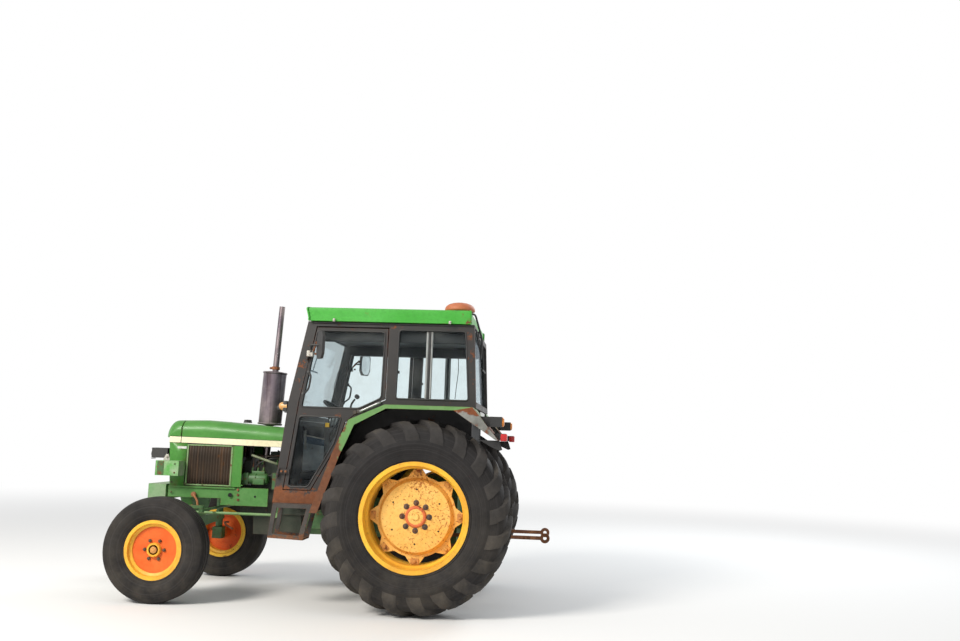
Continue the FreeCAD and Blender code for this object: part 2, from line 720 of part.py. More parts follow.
def front_axle():
    """The beam with a kingpin tube at each end; it hangs under the front support."""
    x = dim.wheelbase
    half_w = dim.beam_w / 2
    ends = dim.kingpin_y
    drop = dim.beam_drop
    beam = new_body("axle_beam", x=x)
    outline = [(-ends, dim.beam_low + drop), (-dim.pivot_half_w, dim.beam_low),
               (dim.pivot_half_w, dim.beam_low), (ends, dim.beam_low + drop),
               (ends, dim.beam_top - drop), (dim.pivot_half_w, dim.beam_top),
               (-dim.pivot_half_w, dim.beam_top), (-ends, dim.beam_top - drop)]
    pad(beam, draw(beam, "YZ_Plane", -half_w, outline), dim.beam_w)
    pieces = [beam]
    bores = []
    for side, sign in (("left", 1), ("right", -1)):
        low = (x, ends * sign, dim.kingpin_tube_low)
        top = (x, ends * sign, dim.kingpin_tube_top)
        pieces.append(bar("kingpin_tube_" + side, low, top, dim.kingpin_tube_r))
        bores.append(bar("kingpin_bore_" + side, low, top, dim.kingpin_r + dim.bearing_gap))
    node(cut("front_axle_cut", fuse("front_axle_raw", pieces), fuse("kingpin_bores", bores)), "front_axle")


def knuckles():
    """Kingpin, block, spindle and steering arms of each front wheel."""
    x = dim.wheelbase
    y = dim.kingpin_y
    z = dim.front_tyre_r
    half = dim.knuckle_block
    top = dim.kingpin_tube_top + dim.seat_gap
    arm_top = top + dim.arm_t
    half_w = dim.arm_w / 2
    spindle_end = half_front + dim.front_disc_out - dim.front_disc_t - dim.door_gap

    def common(side, sign):
        def across(a):
            return a * sign
        block_low = min((y - half) * sign, (y + half) * sign, key=lambda value: value.number)
        block_high = max((y - half) * sign, (y + half) * sign, key=lambda value: value.number)
        arm_low = min((y - half_w) * sign, (y + half_w) * sign, key=lambda value: value.number)
        arm_high = max((y - half_w) * sign, (y + half_w) * sign, key=lambda value: value.number)
        return [
            box("knuckle_block_" + side, (x - half, block_low, z - half),
                (x + half, block_high, dim.kingpin_tube_low - dim.seat_gap)),
            bar("kingpin_" + side, (x, across(y), z), (x, across(y), arm_top), dim.kingpin_r),
            bar("spindle_" + side, (x, across(y), z), (x, across(spindle_end), z), dim.spindle_r),
            box("tie_arm_" + side, (x - dim.tie_arm, arm_low, top), (x + half_w, arm_high, arm_top)),
            bar("tie_arm_end_" + side, (x - dim.tie_arm, across(y), top),
                (x - dim.tie_arm, across(y), arm_top), half_w),
            bar("tie_pin_" + side, (x - dim.tie_arm, across(y), dim.tie_rod_z - dim.rod_end_h / 2),
                (x - dim.tie_arm, across(y), top), dim.ball_pin_r),
        ]

    ball_y = y - dim.drag_arm
    left = common("left", 1) + [
        box("drag_arm", (x - half_w, ball_y, top), (x + half_w, y, arm_top)),
        bar("drag_arm_end", (x, ball_y, top), (x, ball_y, arm_top), half_w),
        bar("drag_pin", (x, ball_y, dim.drag_link_z - dim.rod_end_h / 2), (x, ball_y, top), dim.ball_pin_r)]
    node(fuse("knuckle_left_raw", left), "knuckle_left")
    node(fuse("knuckle_right_raw", common("right", -1)), "knuckle_right")


def steering():
    """Tie rod, drag link, drop arm and steering gear."""
    x = dim.wheelbase - dim.tie_arm
    y = dim.kingpin_y
    z = dim.tie_rod_z
    hole = dim.ball_pin_r + dim.seat_gap
    half_h = dim.rod_end_h / 2
    rod = bar("tie_rod_bar", (x, -y + dim.rod_end_r / 2, z), (x, y - dim.rod_end_r / 2, z), dim.rod_r)
    ends = [bar("tie_rod_end_" + side, (x, y * sign, z - half_h), (x, y * sign, z + half_h),
                dim.rod_end_r) for side, sign in (("left", 1), ("right", -1))]
    holes = [bar("tie_rod_eye_" + side, (x, y * sign, z - half_h), (x, y * sign, z + half_h), hole)
             for side, sign in (("left", 1), ("right", -1))]
    node(cut("tie_rod_cut", fuse("tie_rod_raw", [rod] + ends), fuse("tie_rod_eyes", holes)), "tie_rod")

    front = dim.wheelbase
    y = dim.kingpin_y - dim.drag_arm
    z = dim.drag_link_z
    rear = dim.drop_arm_x
    link = bar("drag_link_bar", (rear, y, z), (front - dim.rod_end_r / 2, y, z), dim.rod_r)
    eye = bar("drag_link_end", (front, y, z - half_h), (front, y, z + half_h), dim.rod_end_r)
    gap_y = y - dim.rod_end_r
    rear_eye = bar("drag_link_rear", (rear, gap_y, z), (rear, y + half_h, z), dim.rod_end_r)
    hole_bar = bar("drag_link_eye", (front, y, z - half_h), (front, y, z + half_h), hole)
    node(cut("drag_link_cut", fuse("drag_link_raw", [link, eye, rear_eye]), hole_bar), "drag_link")

    pivot_z = z + dim.drag_arm
    outer = gap_y - dim.seat_gap
    inner = outer - dim.drop_arm_t
    half_w = dim.arm_w / 2
    arm = plate("drop_arm_plate", rect(rear - half_w, z, rear + half_w, pivot_z), outer, dim.drop_arm_t)
    low_end = bar("drop_arm_low", (rear, inner, z), (rear, outer, z), half_w)
    high_end = bar("drop_arm_high", (rear, inner, pivot_z), (rear, outer, pivot_z), half_w)
    gear_y = inner - dim.seat_gap
    shaft_in = gear_y - dim.drop_arm_t * 2
    shaft = bar("drop_arm_shaft", (rear, shaft_in, pivot_z), (rear, inner, pivot_z), dim.drop_shaft_r)
    node(fuse("drop_arm_raw", [arm, low_end, high_end, shaft]), "drop_arm")

    half_l = dim.steering_gear_l / 2
    gear = box("gear_block", (rear - half_l, dim.block_y, dim.steering_gear_low),
               (rear + half_l, gear_y, dim.steering_gear_low + dim.steering_gear_h))
    bore = bar("gear_bore", (rear, shaft_in - dim.seat_gap, pivot_z), (rear, gear_y, pivot_z),
               dim.drop_shaft_r + dim.bearing_gap)
    node(cut("steering_gear_cut", gear, bore), "steering_gear")


def front_support():
    """The cast front end, its ballast, and the engine's side plates."""
    top, low, deep = dim.rail_top, dim.rail_low, dim.rail_deep
    front, notch, joint = dim.rail_front_x, dim.rail_notch_x, dim.rail_joint_x
    cheek = [(front, low), (front, top), (joint, top), (joint, deep), (notch, deep), (notch, low)]
    left = plate("cheek_left", cheek, dim.rail_y, dim.rail_t)
    inner = dim.rail_y - dim.rail_t
    wall = box("front_wall", (front - dim.rail_t, -inner, low), (front, inner, top))
    tongue = box("ballast_bracket", (front, -dim.tongue_y, dim.tongue_low),
                 (dim.ballast_rear_x, dim.tongue_y, top))
    x = dim.wheelbase
    half_w = dim.beam_w / 2
    deck = box("front_deck", (x - half_w * 2, -inner, low), (front - dim.rail_t, inner, low + dim.rail_t))
    pivot = rail("axle_bracket", [(-dim.pivot_half_w, dim.beam_top + dim.seat_gap),
                                  (dim.pivot_half_w, dim.beam_top + dim.seat_gap),
                                  (inner, low), (-inner, low)], x - half_w, dim.beam_w)
    ledge = box("panel_ledge", (dim.post_rear_x + dim.seam_gap * 12, inner, top - dim.ledge_t),
                (dim.nose_low_x, dim.hood_y - dim.sheet_t / 2, top))
    shelf = box("radiator_shelf", (dim.radiator_rear_x, -inner, top - dim.ledge_t),
                (dim.radiator_rear_x + dim.radiator_t, inner, top))
    node(fuse("front_support_raw", [left, mirror("cheek_right", left), wall, tongue, deck, pivot, shelf,
                                    ledge, mirror("panel_ledge_right", ledge)]), "front_support")

    ballast = rail("ballast", rect(-dim.ballast_y, dim.ballast_low, dim.ballast_y, dim.ballast_top),
                   dim.ballast_rear_x, dim.ballast_front_x - dim.ballast_rear_x)
    node(ballast, "front_ballast")

    outline = rect(dim.rail_end_x, deep, joint, top)
    side = plate("side_plate", outline, dim.rail_y, dim.plate_t)
    spacer = box("side_plate_boss", (joint - dim.arm_w * 3, dim.block_y, deep + dim.plate_t),
                 (joint - dim.arm_w * 2, dim.rail_y - dim.plate_t, top - dim.plate_t))
    plate_left = fuse("side_plate_left", [side, spacer])
    node(group("side_plates_pair", [plate_left, mirror("side_plate_right", plate_left)]), "side_plates")


def engine():
    """Block, head, rocker cover and sump in one casting group, with its pump, fan and radiator."""
    rear, front = dim.block_rear_x, dim.block_front_x
    block = box("block", (rear, -dim.block_y, dim.block_low), (front, dim.block_y, dim.block_top))
    head = box("head", (rear + dim.timing_t * 2, -dim.head_y, dim.block_top),
               (front - dim.timing_t, dim.head_y, dim.head_top))
    cover = rail("rocker_cover", [(-dim.cover_y, dim.head_top), (dim.cover_y, dim.head_top),
                                  (dim.cover_y * 0.8, dim.cover_top), (-dim.cover_y * 0.8, dim.cover_top)],
                 rear + dim.timing_t * 3, front - rear - dim.timing_t * 6)
    sump = rail("sump", [(-dim.sump_y, dim.block_low), (-dim.sump_y * 0.8, dim.sump_low),
                         (dim.sump_y * 0.8, dim.sump_low), (dim.sump_y, dim.block_low)],
                rear + dim.timing_t, front - rear - dim.timing_t * 2)
    timing = rail("timing_cover", [(-dim.sump_y, dim.block_low), (dim.sump_y, dim.block_low),
                                   (dim.sump_y, dim.head_top), (dim.sump_y * 0.5, dim.fan_z + dim.timing_t * 2),
                                   (-dim.sump_y * 0.5, dim.fan_z + dim.timing_t * 2),
                                   (-dim.sump_y, dim.head_top)], front, dim.timing_t)
    nose = front + dim.timing_t
    crank = bar("crank_pulley", (nose, 0, dim.crank_z), (nose + dim.pulley_t, 0, dim.crank_z),
                dim.crank_pulley_r)
    node(fuse("engine_raw", [block, head, cover, sump, timing, crank]), "engine")

    hub_end = nose + dim.fan_shaft_l
    shaft = bar("fan_shaft", (nose, 0, dim.fan_z), (hub_end, 0, dim.fan_z), dim.fan_shaft_r)
    pulley = bar("fan_pulley", (nose + dim.seam_gap, 0, dim.fan_z),
                 (nose + dim.seam_gap + dim.pulley_t, 0, dim.fan_z), dim.fan_pulley_r)
    hub = bar("fan_hub", (hub_end - dim.pulley_t, 0, dim.fan_z), (hub_end, 0, dim.fan_z),
              dim.fan_shaft_r * 3)
    blades = []
    count = round(dim.blade_count.number)
    root = dim.fan_shaft_r.number * 2
    for index in range(count):
        blade = Part.makeBox(dim.blade_t.number, dim.blade_w.number, dim.fan_r.number - root,
                             FreeCAD.Vector(-dim.blade_t.number / 2, -dim.blade_w.number / 2, root))
        blade.rotate(FreeCAD.Vector(0, 0, 0), FreeCAD.Vector(0, 0, 1), dim.blade_pitch.number)
        blade.rotate(FreeCAD.Vector(0, 0, 0), FreeCAD.Vector(1, 0, 0), index * 360 / count)
        piece = doc.addObject("Part::Feature", "fan_blade_%d" % index)
        piece.Shape = blade
        place(piece, hub_end - dim.pulley_t / 2, 0, dim.fan_z)
        blades.append(piece)
    node(fuse("fan_raw", [shaft, pulley, hub] + blades), "fan")

    node(box("radiator_block", (dim.radiator_rear_x, -dim.radiator_y, dim.rail_top),
             (dim.radiator_rear_x + dim.radiator_t, dim.radiator_y, dim.radiator_top)), "radiator")


def exhaust():
    """Muffler and stack, leaning back a little, on the pipe from the manifold."""
    foot = dim.head_top
    wall_r = dim.stack_r - dim.stack_wall
    section = [(0, foot), (dim.downpipe_r, foot), (dim.downpipe_r, dim.muffler_low),
               (dim.muffler_r, dim.muffler_low), (dim.muffler_r, dim.muffler_top),
               (dim.stack_r, dim.muffler_top), (dim.stack_r, dim.stack_top), (wall_r, dim.stack_top),
               (wall_r, dim.muffler_top), (0, dim.muffler_top)]
    body = new_body("exhaust_body", x=dim.exhaust_x)
    sketch = draw(body, "XZ_Plane", 0, [(r, z - foot) for r, z in section])
    feature = body.newObject("PartDesign::Revolution", "exhaust_turn")
    feature.Profile = sketch
    feature.ReferenceAxis = (sketch, ["V_Axis"])
    feature.Angle = 360
    body.Placement.Rotation = FreeCAD.Rotation(FreeCAD.Vector(0, 1, 0), -dim.exhaust_lean.number)
    foot_edge = dim.downpipe_r.number * math.sin(math.radians(dim.exhaust_lean.number))
    body.setExpression("Placement.Base.z", (foot + dim.seat_gap + foot_edge).formula)
    node(body, "exhaust")


def hood_section(z_top, z_low, inset):
    """Half a hood section (y, z) from the middle of the top to the lower edge, with its shoulder."""
    y = dim.hood_y - inset
    r = dim.hood_shoulder_r - inset
    top = z_top - inset
    corner = r * (1 - math.sqrt(0.5))
    return [(size(0), top), (y - r, top), (y - corner, top - corner), (y, top - r), (y, size(z_low))]


def shell_loft(name, stations, inset):
    """A solid through hood sections at (x, top, low), closed at its underside."""
    wires = []
    for x, z_top, z_low in stations:
        half = [(y.number, z.number) for y, z in hood_section(z_top, z_low, inset)]
        spots = {}
        for sign in (1, -1):
            spots[sign] = [FreeCAD.Vector(x.number, y * sign, z) for y, z in half]
        left, right = spots[1], spots[-1]
        edges = [Part.makeLine(right[1], left[1]), Part.Arc(left[1], left[2], left[3]).toShape(),
                 Part.makeLine(left[3], left[4]), Part.makeLine(left[4], right[4]),
                 Part.makeLine(right[4], right[3]), Part.Arc(right[3], right[2], right[1]).toShape()]
        wires.append(Part.Wire(edges))
    return Part.makeLoft(wires, True, True)


def hood_panels():
    """Hood and nose as one folded sheet each, the grille, the side screens and the lamps."""
    hood_rear_x = dim.floor_front_x + dim.seat_gap
    low_slope = (dim.hood_low_front_z - dim.hood_low_rear_z) / (dim.hood_front_x - hood_rear_x)

    def low_at(x):
        return dim.hood_low_rear_z + low_slope * (x - hood_rear_x)

    stations = [(hood_rear_x, dim.hood_rear_z, low_at(hood_rear_x)),
                (dim.hood_high_x, dim.hood_high_z, low_at(dim.hood_high_x)),
                (dim.hood_front_x - dim.seam_gap, dim.hood_front_z, low_at(dim.hood_front_x))]
    outer = shell_loft("hood_outer", stations, size(0))
    inner = shell_loft("hood_inner", stations, dim.sheet_t)
    lowered = inner.copy()
    lowered.translate(FreeCAD.Vector(0, 0, -dim.sheet_t.number))
    drift = (dim.hood_high_z - dim.head_top).number * math.tan(math.radians(dim.exhaust_lean.number))
    hole = Part.makeCylinder((dim.downpipe_r + dim.door_gap).number, dim.hood_high_z.number,
                             FreeCAD.Vector(dim.exhaust_x.number - drift, 0, 0))
    hood = doc.addObject("Part::Feature", "hood_sheet")
    hood.Shape = outer.cut([inner, lowered, hole])
    place(hood)
    node(hood, "hood")

    base = dim.rail_top + dim.seat_gap
    seam = dim.hood_front_x
    peak_x, peak_z = dim.nose_peak_x, dim.nose_peak_z
    top_seam = dim.hood_front_z
    side = [(dim.nose_rear_low_x, base), (dim.nose_low_x, base), (dim.nose_x, low_at(seam)),
            (dim.nose_x, dim.nose_brow_z), (peak_x - dim.hood_shoulder_r / 2, dim.nose_brow_z),
            (peak_x, peak_z - dim.hood_shoulder_r / 2), (peak_x - dim.hood_shoulder_r / 2, peak_z),
            (seam, top_seam), (seam, low_at(seam) - dim.seam_gap), (dim.nose_rear_x, low_at(seam) - dim.seam_gap)]
    profile = plate("nose_profile", side, dim.hood_y, dim.hood_y * 2)
    cheek = dim.hood_y - dim.sheet_t
    hollow = [(dim.nose_rear_x - dim.sheet_t, base), (dim.nose_low_x + dim.sheet_t * 4, base),
              (dim.nose_x + dim.sheet_t * 4, dim.nose_brow_z + dim.sheet_t),
              (peak_x - dim.hood_shoulder_r / 2, dim.nose_brow_z + dim.sheet_t),
              (peak_x - dim.hood_shoulder_r / 2, peak_z - dim.sheet_t * 2),
              (seam, top_seam - dim.sheet_t), (seam - dim.sheet_t, top_seam - dim.sheet_t),
              (dim.nose_rear_x - dim.sheet_t, low_at(seam))]
    inside = plate("nose_hollow", hollow, cheek, cheek * 2)
    envelope = doc.addObject("Part::Feature", "nose_envelope")
    rear = (dim.nose_rear_x, dim.hood_front_z, base)
    mid = (seam, dim.hood_front_z, base)
    far = (peak_x, peak_z, base)
    envelope.Shape = shell_loft("nose_outer", [rear, mid, far], size(0))
    place(envelope)
    shape = doc.addObject("Part::Common", "nose_form")
    shape.Base = profile
    shape.Tool = envelope
    node(cut("nose_cut", shape, inside), "nose")

    face_x = dim.nose_low_x - dim.grille_in
    bars = []
    count = round(dim.grille_bar_count.number)
    width = dim.hood_y - dim.sheet_t - dim.seam_gap
    step = (width * 2 - dim.grille_bar_w) / (count - 1)
    for index in range(count):
        y = -width + step * index
        bars.append(box("grille_bar_%d" % index, (face_x - dim.grille_t, y, base),
                        (face_x, y + dim.grille_bar_w, dim.nose_brow_z - dim.seam_gap)))
    bars.append(box("grille_back", (face_x - dim.grille_t * 1.5, -width, base),
                    (face_x - dim.grille_t, width, dim.nose_brow_z - dim.seam_gap)))
    node(fuse("grille_raw", bars), "grille")

    top_z = low_at(dim.screen_top_rear_x) - dim.seam_gap
    low_z = dim.screen_low
    outer_y = dim.hood_y
    frame = [(dim.screen_low_rear_x, low_z), (dim.screen_low_front_x, low_z),
             (dim.screen_top_front_x, top_z), (dim.screen_top_rear_x, top_z)]
    panel = plate("screen_panel", frame, outer_y, dim.screen_t)
    post = [(dim.post_rear_x, low_z), (dim.post_front_x, low_z), (dim.post_front_x, top_z),
            (dim.post_rear_x, top_z)]
    post_piece = plate("screen_post", post, outer_y, dim.post_t)
    ledge = box("screen_ledge", (dim.post_front_x - dim.screen_frame_w, outer_y - dim.screen_t, low_z),
                (dim.screen_low_rear_x + dim.screen_frame_w, outer_y - dim.sheet_t, top_z))
    feet = [box("screen_foot_%d" % index, (x, outer_y - dim.screen_t, dim.rail_top),
                (x + dim.screen_frame_w * 2, outer_y - dim.sheet_t, low_z))
            for index, x in enumerate((dim.screen_low_rear_x, dim.screen_low_front_x - dim.screen_frame_w * 2))]
    left = fuse("screen_left", [panel, post_piece, ledge] + feet)
    node(group("screens_pair", [left, mirror("screen_right", left)]), "side_screens")
    

def lamps():
    """Side headlamps, upper work lamps and tail lamps."""
    y0 = dim.hood_y
    y1 = y0 + dim.headlamp_w
    body = box("headlamp_body", (dim.headlamp_rear_x, y0, dim.headlamp_low),
               (dim.headlamp_front_x - dim.bezel_t, y1, dim.headlamp_top))
    bezel = box("headlamp_bezel", (dim.headlamp_front_x - dim.bezel_t, y0, dim.headlamp_low),
                (dim.headlamp_front_x, y1, dim.headlamp_top))
    left = fuse("headlamp_left", [body, bezel])
    node(group("headlamps_pair", [left, mirror("headlamp_right", left)]), "headlamps")

    y0 = dim.work_lamp_y - dim.work_lamp_w / 2
    y1 = dim.work_lamp_y + dim.work_lamp_w / 2
    lamp = box("work_lamp_body", (dim.work_lamp_rear_x, y0, dim.work_lamp_low),
               (dim.work_lamp_front_x, y1, dim.work_lamp_top))
    grille_x = dim.nose_low_x - dim.grille_in
    arm_z = dim.work_lamp_low
    arm = box("work_lamp_arm", (grille_x, dim.work_lamp_y - dim.bezel_t, arm_z - dim.bezel_t),
              (dim.work_lamp_rear_x + dim.bezel_t * 2, dim.work_lamp_y + dim.bezel_t, arm_z))
    left = fuse("work_lamp_left", [lamp, arm])
    node(group("work_lamps_pair", [left, mirror("work_lamp_right", left)]), "work_lamps")


def signal_lamps():
    """Turn lamp and red lamp behind each fender, each on a bracket from the fender's slope."""
    high_x, high_z = point("fender_high_rear")
    tail_x, tail_z = point("fender_tail")
    slope = (high_x - tail_x) / (high_z - tail_z)
    y0, y1 = dim.lamp_y - dim.lamp_w / 2, dim.lamp_y + dim.lamp_w / 2

    def behind(z):
        return tail_x + (z - tail_z) * slope - dim.seat_gap
    pieces = []
    for name in ("turn_lamp", "red_lamp"):
        rear, front = getattr(dim, name + "_rear_x"), getattr(dim, name + "_front_x")
        low, top = getattr(dim, name + "_low"), getattr(dim, name + "_top")
        lamp = box(name + "_body", (rear, y0, low), (front, y1, top))
        bracket = plate(name + "_bracket", [(front, low), (behind(low), low), (behind(top), top), (front, top)],
                        dim.lamp_y + dim.bezel_t, dim.bezel_t * 2)
        pieces.append(fuse(name + "_left", [lamp, bracket]))
    left = group("signal_lamps_left", pieces)
    node(group("signal_lamps_all", [left, mirror("signal_lamps_right", left)]), "signal_lamps")


def cab_frame():
    """Both cab sides with their door and window openings, joined by cross members."""
    outline = [point(name) for name in (
        "foot", "waist", "brow", "tail_brow", "tail_waist", "fender_high_front", "fender_knee",
        "fender_mid", "fender_front")]
    outline.append((fender_line_x(dim.foot_z), dim.foot_z))
    doorway = [point(name) for name in (
        "way_brow", "way_waist", "way_foot", "way_rear_foot", "way_low", "way_mid", "way_high",
        "way_rear", "way_rear_brow")]
    side_window = [point(name) for name in (
        "side_front_top", "side_rear_top", "side_rear_low", "side_front_low")]
    left = plate("cab_side", outline, dim.cab_y, dim.cab_t, [doorway, side_window])
    inner = dim.cab_y - dim.cab_t
    w = dim.cross_w
    h = dim.top_rail_h
    brow_x, brow_z = point("brow")
    tail_x, tail_z = point("tail_brow")
    waist_x, waist_z = point("waist")
    rear_x, rear_z = point("tail_waist")
    across = [
        plate("front_top_rail", [(brow_x - w, brow_z), (brow_x, brow_z), (brow_x + h * 0.19, brow_z - h),
                                 (brow_x - w, brow_z - h)], inner, inner * 2),
        plate("rear_top_rail", rect(tail_x, tail_z - h, tail_x + w, tail_z), inner, inner * 2),
        plate("front_waist_rail", rect(waist_x - w, waist_z - w * 3, waist_x, waist_z - w * 2.2),
              inner, inner * 2),
        plate("rear_waist_rail", rect(rear_x, rear_z, rear_x + w, rear_z + h), inner, inner * 2),
    ]
    shell = fuse("cab_shell", [left, mirror("cab_side_right", left)] + across)
    pins = fuse("hinge_pins_left", hinge_pins(), refine=False)
    both = [pins, mirror("hinge_pins_right", pins)]
    node(fuse("cab_frame_raw", [shell] + both, refine=False), "cab_frame")


def hinge_ends(extra):
    """Both hinge barrels' ends on the leaning hinge line, moved outwards along it by extra."""
    along_x = dim.hinge_high_x - dim.hinge_low_x
    along_z = dim.hinge_high_z - dim.hinge_low_z
    length = Size(math.hypot(along_x.number, along_z.number),
                  "sqrt(" + along_x.formula + "^2 + " + along_z.formula + "^2)")
    y = dim.cab_y + dim.hinge_out
    reach = dim.hinge_h / 2 + extra
    ends = []
    for name in ("hinge_high", "hinge_low"):
        x, z = point(name)
        step_x, step_z = along_x / length * reach, along_z / length * reach
        ends.append((name, (x - step_x, y, z - step_z), (x + step_x, y, z + step_z)))
    return ends


def hinge_leaves():
    """The door's hinge barrels with their straps."""
    pieces = []
    y = dim.cab_y + dim.hinge_out
    half = dim.strap_h / 2
    # Hinge, how far its strap reaches back onto the door
    table = {"hinge_high": 42, "hinge_low": 85}
    for name, low, high in hinge_ends(0):
        x, z = point(name)
        back = x - table[name]
        pieces.append(bar(name + "_barrel", low, high, dim.hinge_r))
        pieces.append(plate(name + "_strap", rect(back, z - half, x, z + half), y, dim.strap_t))
        pieces.append(box(name + "_foot", (back, dim.cab_y, z - half),
                          (back + dim.strap_foot, y - dim.strap_t, z + half)))
    return pieces


def hinge_pins():
    """The pillar's hinge pins, each on a lug under its barrel."""
    pieces = []
    for (name, low, high), (_, far_low, _) in zip(hinge_ends(0), hinge_ends(dim.hinge_r * 2)):
        x, y, z = far_low
        inside = tuple((a + b) / 2 for a, b in zip(low, far_low))
        pieces.append(bar(name + "_pin", inside, high, dim.hinge_pin_r))
        near = tuple(a + (b - a) * 0.03 for a, b in zip(low, far_low))
        pieces.append(bar(name + "_lug", far_low, near, dim.hinge_r))
        pieces.append(box(name + "_bracket", (x - dim.hinge_r * 0.8, dim.cab_y - dim.strap_t, z),
                          (x + dim.hinge_r * 0.8, y, z + dim.hinge_r * 1.2)))
    return pieces


def mirror_head():
    """The mirror on its arm from the upper hinge strap, turned in towards the driver."""
    half_w, half_h = dim.mirror_w / 2, dim.mirror_h / 2
    oval = [(half_w, -half_h * 0.6), (half_w, half_h * 0.6), (half_w * 0.6, half_h), (-half_w * 0.6, half_h),
            (-half_w, half_h * 0.6), (-half_w, -half_h * 0.6), (-half_w * 0.6, -half_h),
            (half_w * 0.6, -half_h)]
    head = rail("mirror_plate", oval, 0, dim.mirror_t, x=dim.mirror_x, y=dim.mirror_y, z=dim.mirror_z)
    head.Placement.Rotation = FreeCAD.Rotation(FreeCAD.Vector(0, 0, 1), dim.mirror_turn.number)
    x, z = point("hinge_high")
    y = dim.cab_y + dim.hinge_out
    elbow = (x - dim.strap_h * 1.5, dim.mirror_y - dim.strap_h / 2, dim.mirror_z)
    low_arm = bar("mirror_arm_low", (x - dim.strap_foot, y - dim.strap_t / 2, z), elbow, dim.mirror_arm_r)
    ball = doc.addObject("Part::Sphere", "mirror_elbow")
    ball.setExpression("Radius", dim.mirror_arm_r.formula)
    place(ball, *elbow)
    far_arm = bar("mirror_arm_far", elbow, (dim.mirror_x + dim.mirror_t / 2, dim.mirror_y, dim.mirror_z),
                  dim.mirror_arm_r)
    return [head, low_arm, ball, far_arm]


def doors():
    """Front-hinged doors with two windows each; the hinge line leans with the front pillar."""
    gap = dim.door_gap
    # Corner of the doorway, way along x, way along z to the door's own edge
    edge = [("way_brow", -1, -1), ("way_waist", -1, 0), ("way_foot", -1, 1), ("way_rear_foot", 0.5, 1),
            ("way_low", 1, 0.4), ("way_mid", 1, 0.8), ("way_high", 0.6, 1), ("way_rear", 1, 1),
            ("way_rear_brow", 1, -1)]
    outline = []
    for name, along, up in edge:
        x, z = point(name)
        outline.append((x + gap * along, z + gap * up))
    upper = [point(name) for name in (
        "upper_front_top", "upper_front_low", "upper_diag", "upper_rear_low", "upper_rear_top")]
    lower = [point(name) for name in (
        "lower_front_top", "lower_front_low", "lower_rear_low", "lower_rear_mid", "lower_rear_top")]
    frame = plate("door_frame", outline, dim.cab_y, dim.door_t, [upper, lower])
    glass_y = dim.cab_y - dim.door_t / 2 + dim.glass_t / 2
    solid = cut("door_with_hinges", fuse("door_raw", [frame] + hinge_leaves() + mirror_head()),
                group("hinge_holes", [bar("hinge_hole_" + name, low, high, dim.hinge_pin_r + dim.bearing_gap)
                                      for name, low, high in hinge_ends(0)]))
    both_sides("door", solid)
    panes = [plate("door_pane_" + name, shrink(outline, dim.glass_gap), glass_y, dim.glass_t)
             for name, outline in (("upper", upper), ("lower", lower))]
    pair = group("door_panes", panes)
    both_sides("door_glass", pair)


def shrink(outline, gap):
    """A clockwise or anticlockwise outline with every edge moved inwards by a gap."""
    spots = [(size(u).number, size(v).number) for u, v in outline]
    count = len(spots)
    area = sum(spots[i - 1][0] * spots[i][1] - spots[i][0] * spots[i - 1][1] for i in range(count))
    inward = gap.number if area > 0 else -gap.number
    lines = []
    for i in range(count):
        (u0, v0), (u1, v1) = spots[i - 1], spots[i]
        length = math.hypot(u1 - u0, v1 - v0)
        normal = ((v0 - v1) / length, (u1 - u0) / length)
        lines.append((normal[0], normal[1], normal[0] * u0 + normal[1] * v0 + inward))
    inner = []
    for i in range(count):
        (a, b, c), (d, e, f) = lines[i], lines[(i + 1) % count]
        det = a * e - b * d
        inner.append(((c * e - b * f) / det, (a * f - c * d) / det))
    return inner


def cab_glass():
    """Windscreen, rear window and the side windows behind the doors."""
    inner = dim.cab_y - dim.cab_t - dim.glass_gap
    brow_x, brow_z = point("brow")
    waist_x, waist_z = point("waist")
    w = dim.cross_w
    h = dim.top_rail_h
    low = waist_z - w * 2.2 + dim.glass_gap
    top = brow_z - h - dim.glass_gap
    in_x = w / 2
    slope = (waist_x - brow_x) / (brow_z - waist_z)
    pane = [(waist_x - in_x, low), (waist_x - in_x + dim.glass_t, low), (waist_x - in_x + dim.glass_t, waist_z),
            (brow_x - in_x + dim.glass_t + slope * h, top), (brow_x - in_x + slope * h, top),
            (waist_x - in_x, waist_z)]
    node(plate("windscreen_pane", pane, inner, inner * 2), "windscreen")
    tail_x, tail_z = point("tail_brow")
    rear_x, rear_z = point("tail_waist")
    pane = [(rear_x + in_x, rear_z + h + dim.glass_gap), (rear_x + in_x + dim.glass_t, rear_z + h + dim.glass_gap),
            (tail_x + in_x + dim.glass_t, tail_z - h - dim.glass_gap),
            (tail_x + in_x, tail_z - h - dim.glass_gap)]
    node(plate("rear_pane", pane, inner, inner * 2), "rear_window")
    side = [point(name) for name in ("side_front_top", "side_rear_top", "side_rear_low", "side_front_low")]
    glass_y = dim.cab_y - dim.cab_t / 2 + dim.glass_t / 2
    left = plate("quarter_pane", shrink(side, dim.glass_gap), glass_y, dim.glass_t)
    node(group("quarter_panes", [left, mirror("quarter_pane_right", left)]), "side_windows")


def roof():
    """The roof panel, slanted at its front, and its vent cap."""
    low, top = dim.roof_low, dim.roof_top
    outline = [(dim.roof_rear_x, low), (dim.roof_front_low_x, low), (dim.roof_front_x, top),
               (dim.roof_rear_x, top)]
    panel = plate("roof_panel", outline, dim.roof_y, dim.roof_y * 2)
    node(panel, "roof")
    neck = bar("cap_neck", (dim.cap_x, dim.cap_y, top), (dim.cap_x, dim.cap_y, top + dim.cap_h),
               dim.cap_neck_r)
    lid = bar("cap_lid", (dim.cap_x, dim.cap_y, top + dim.cap_h),
              (dim.cap_x, dim.cap_y, top + dim.cap_h * 2), dim.cap_r)
    node(fuse("roof_cap_raw", [neck, lid]), "roof_cap")


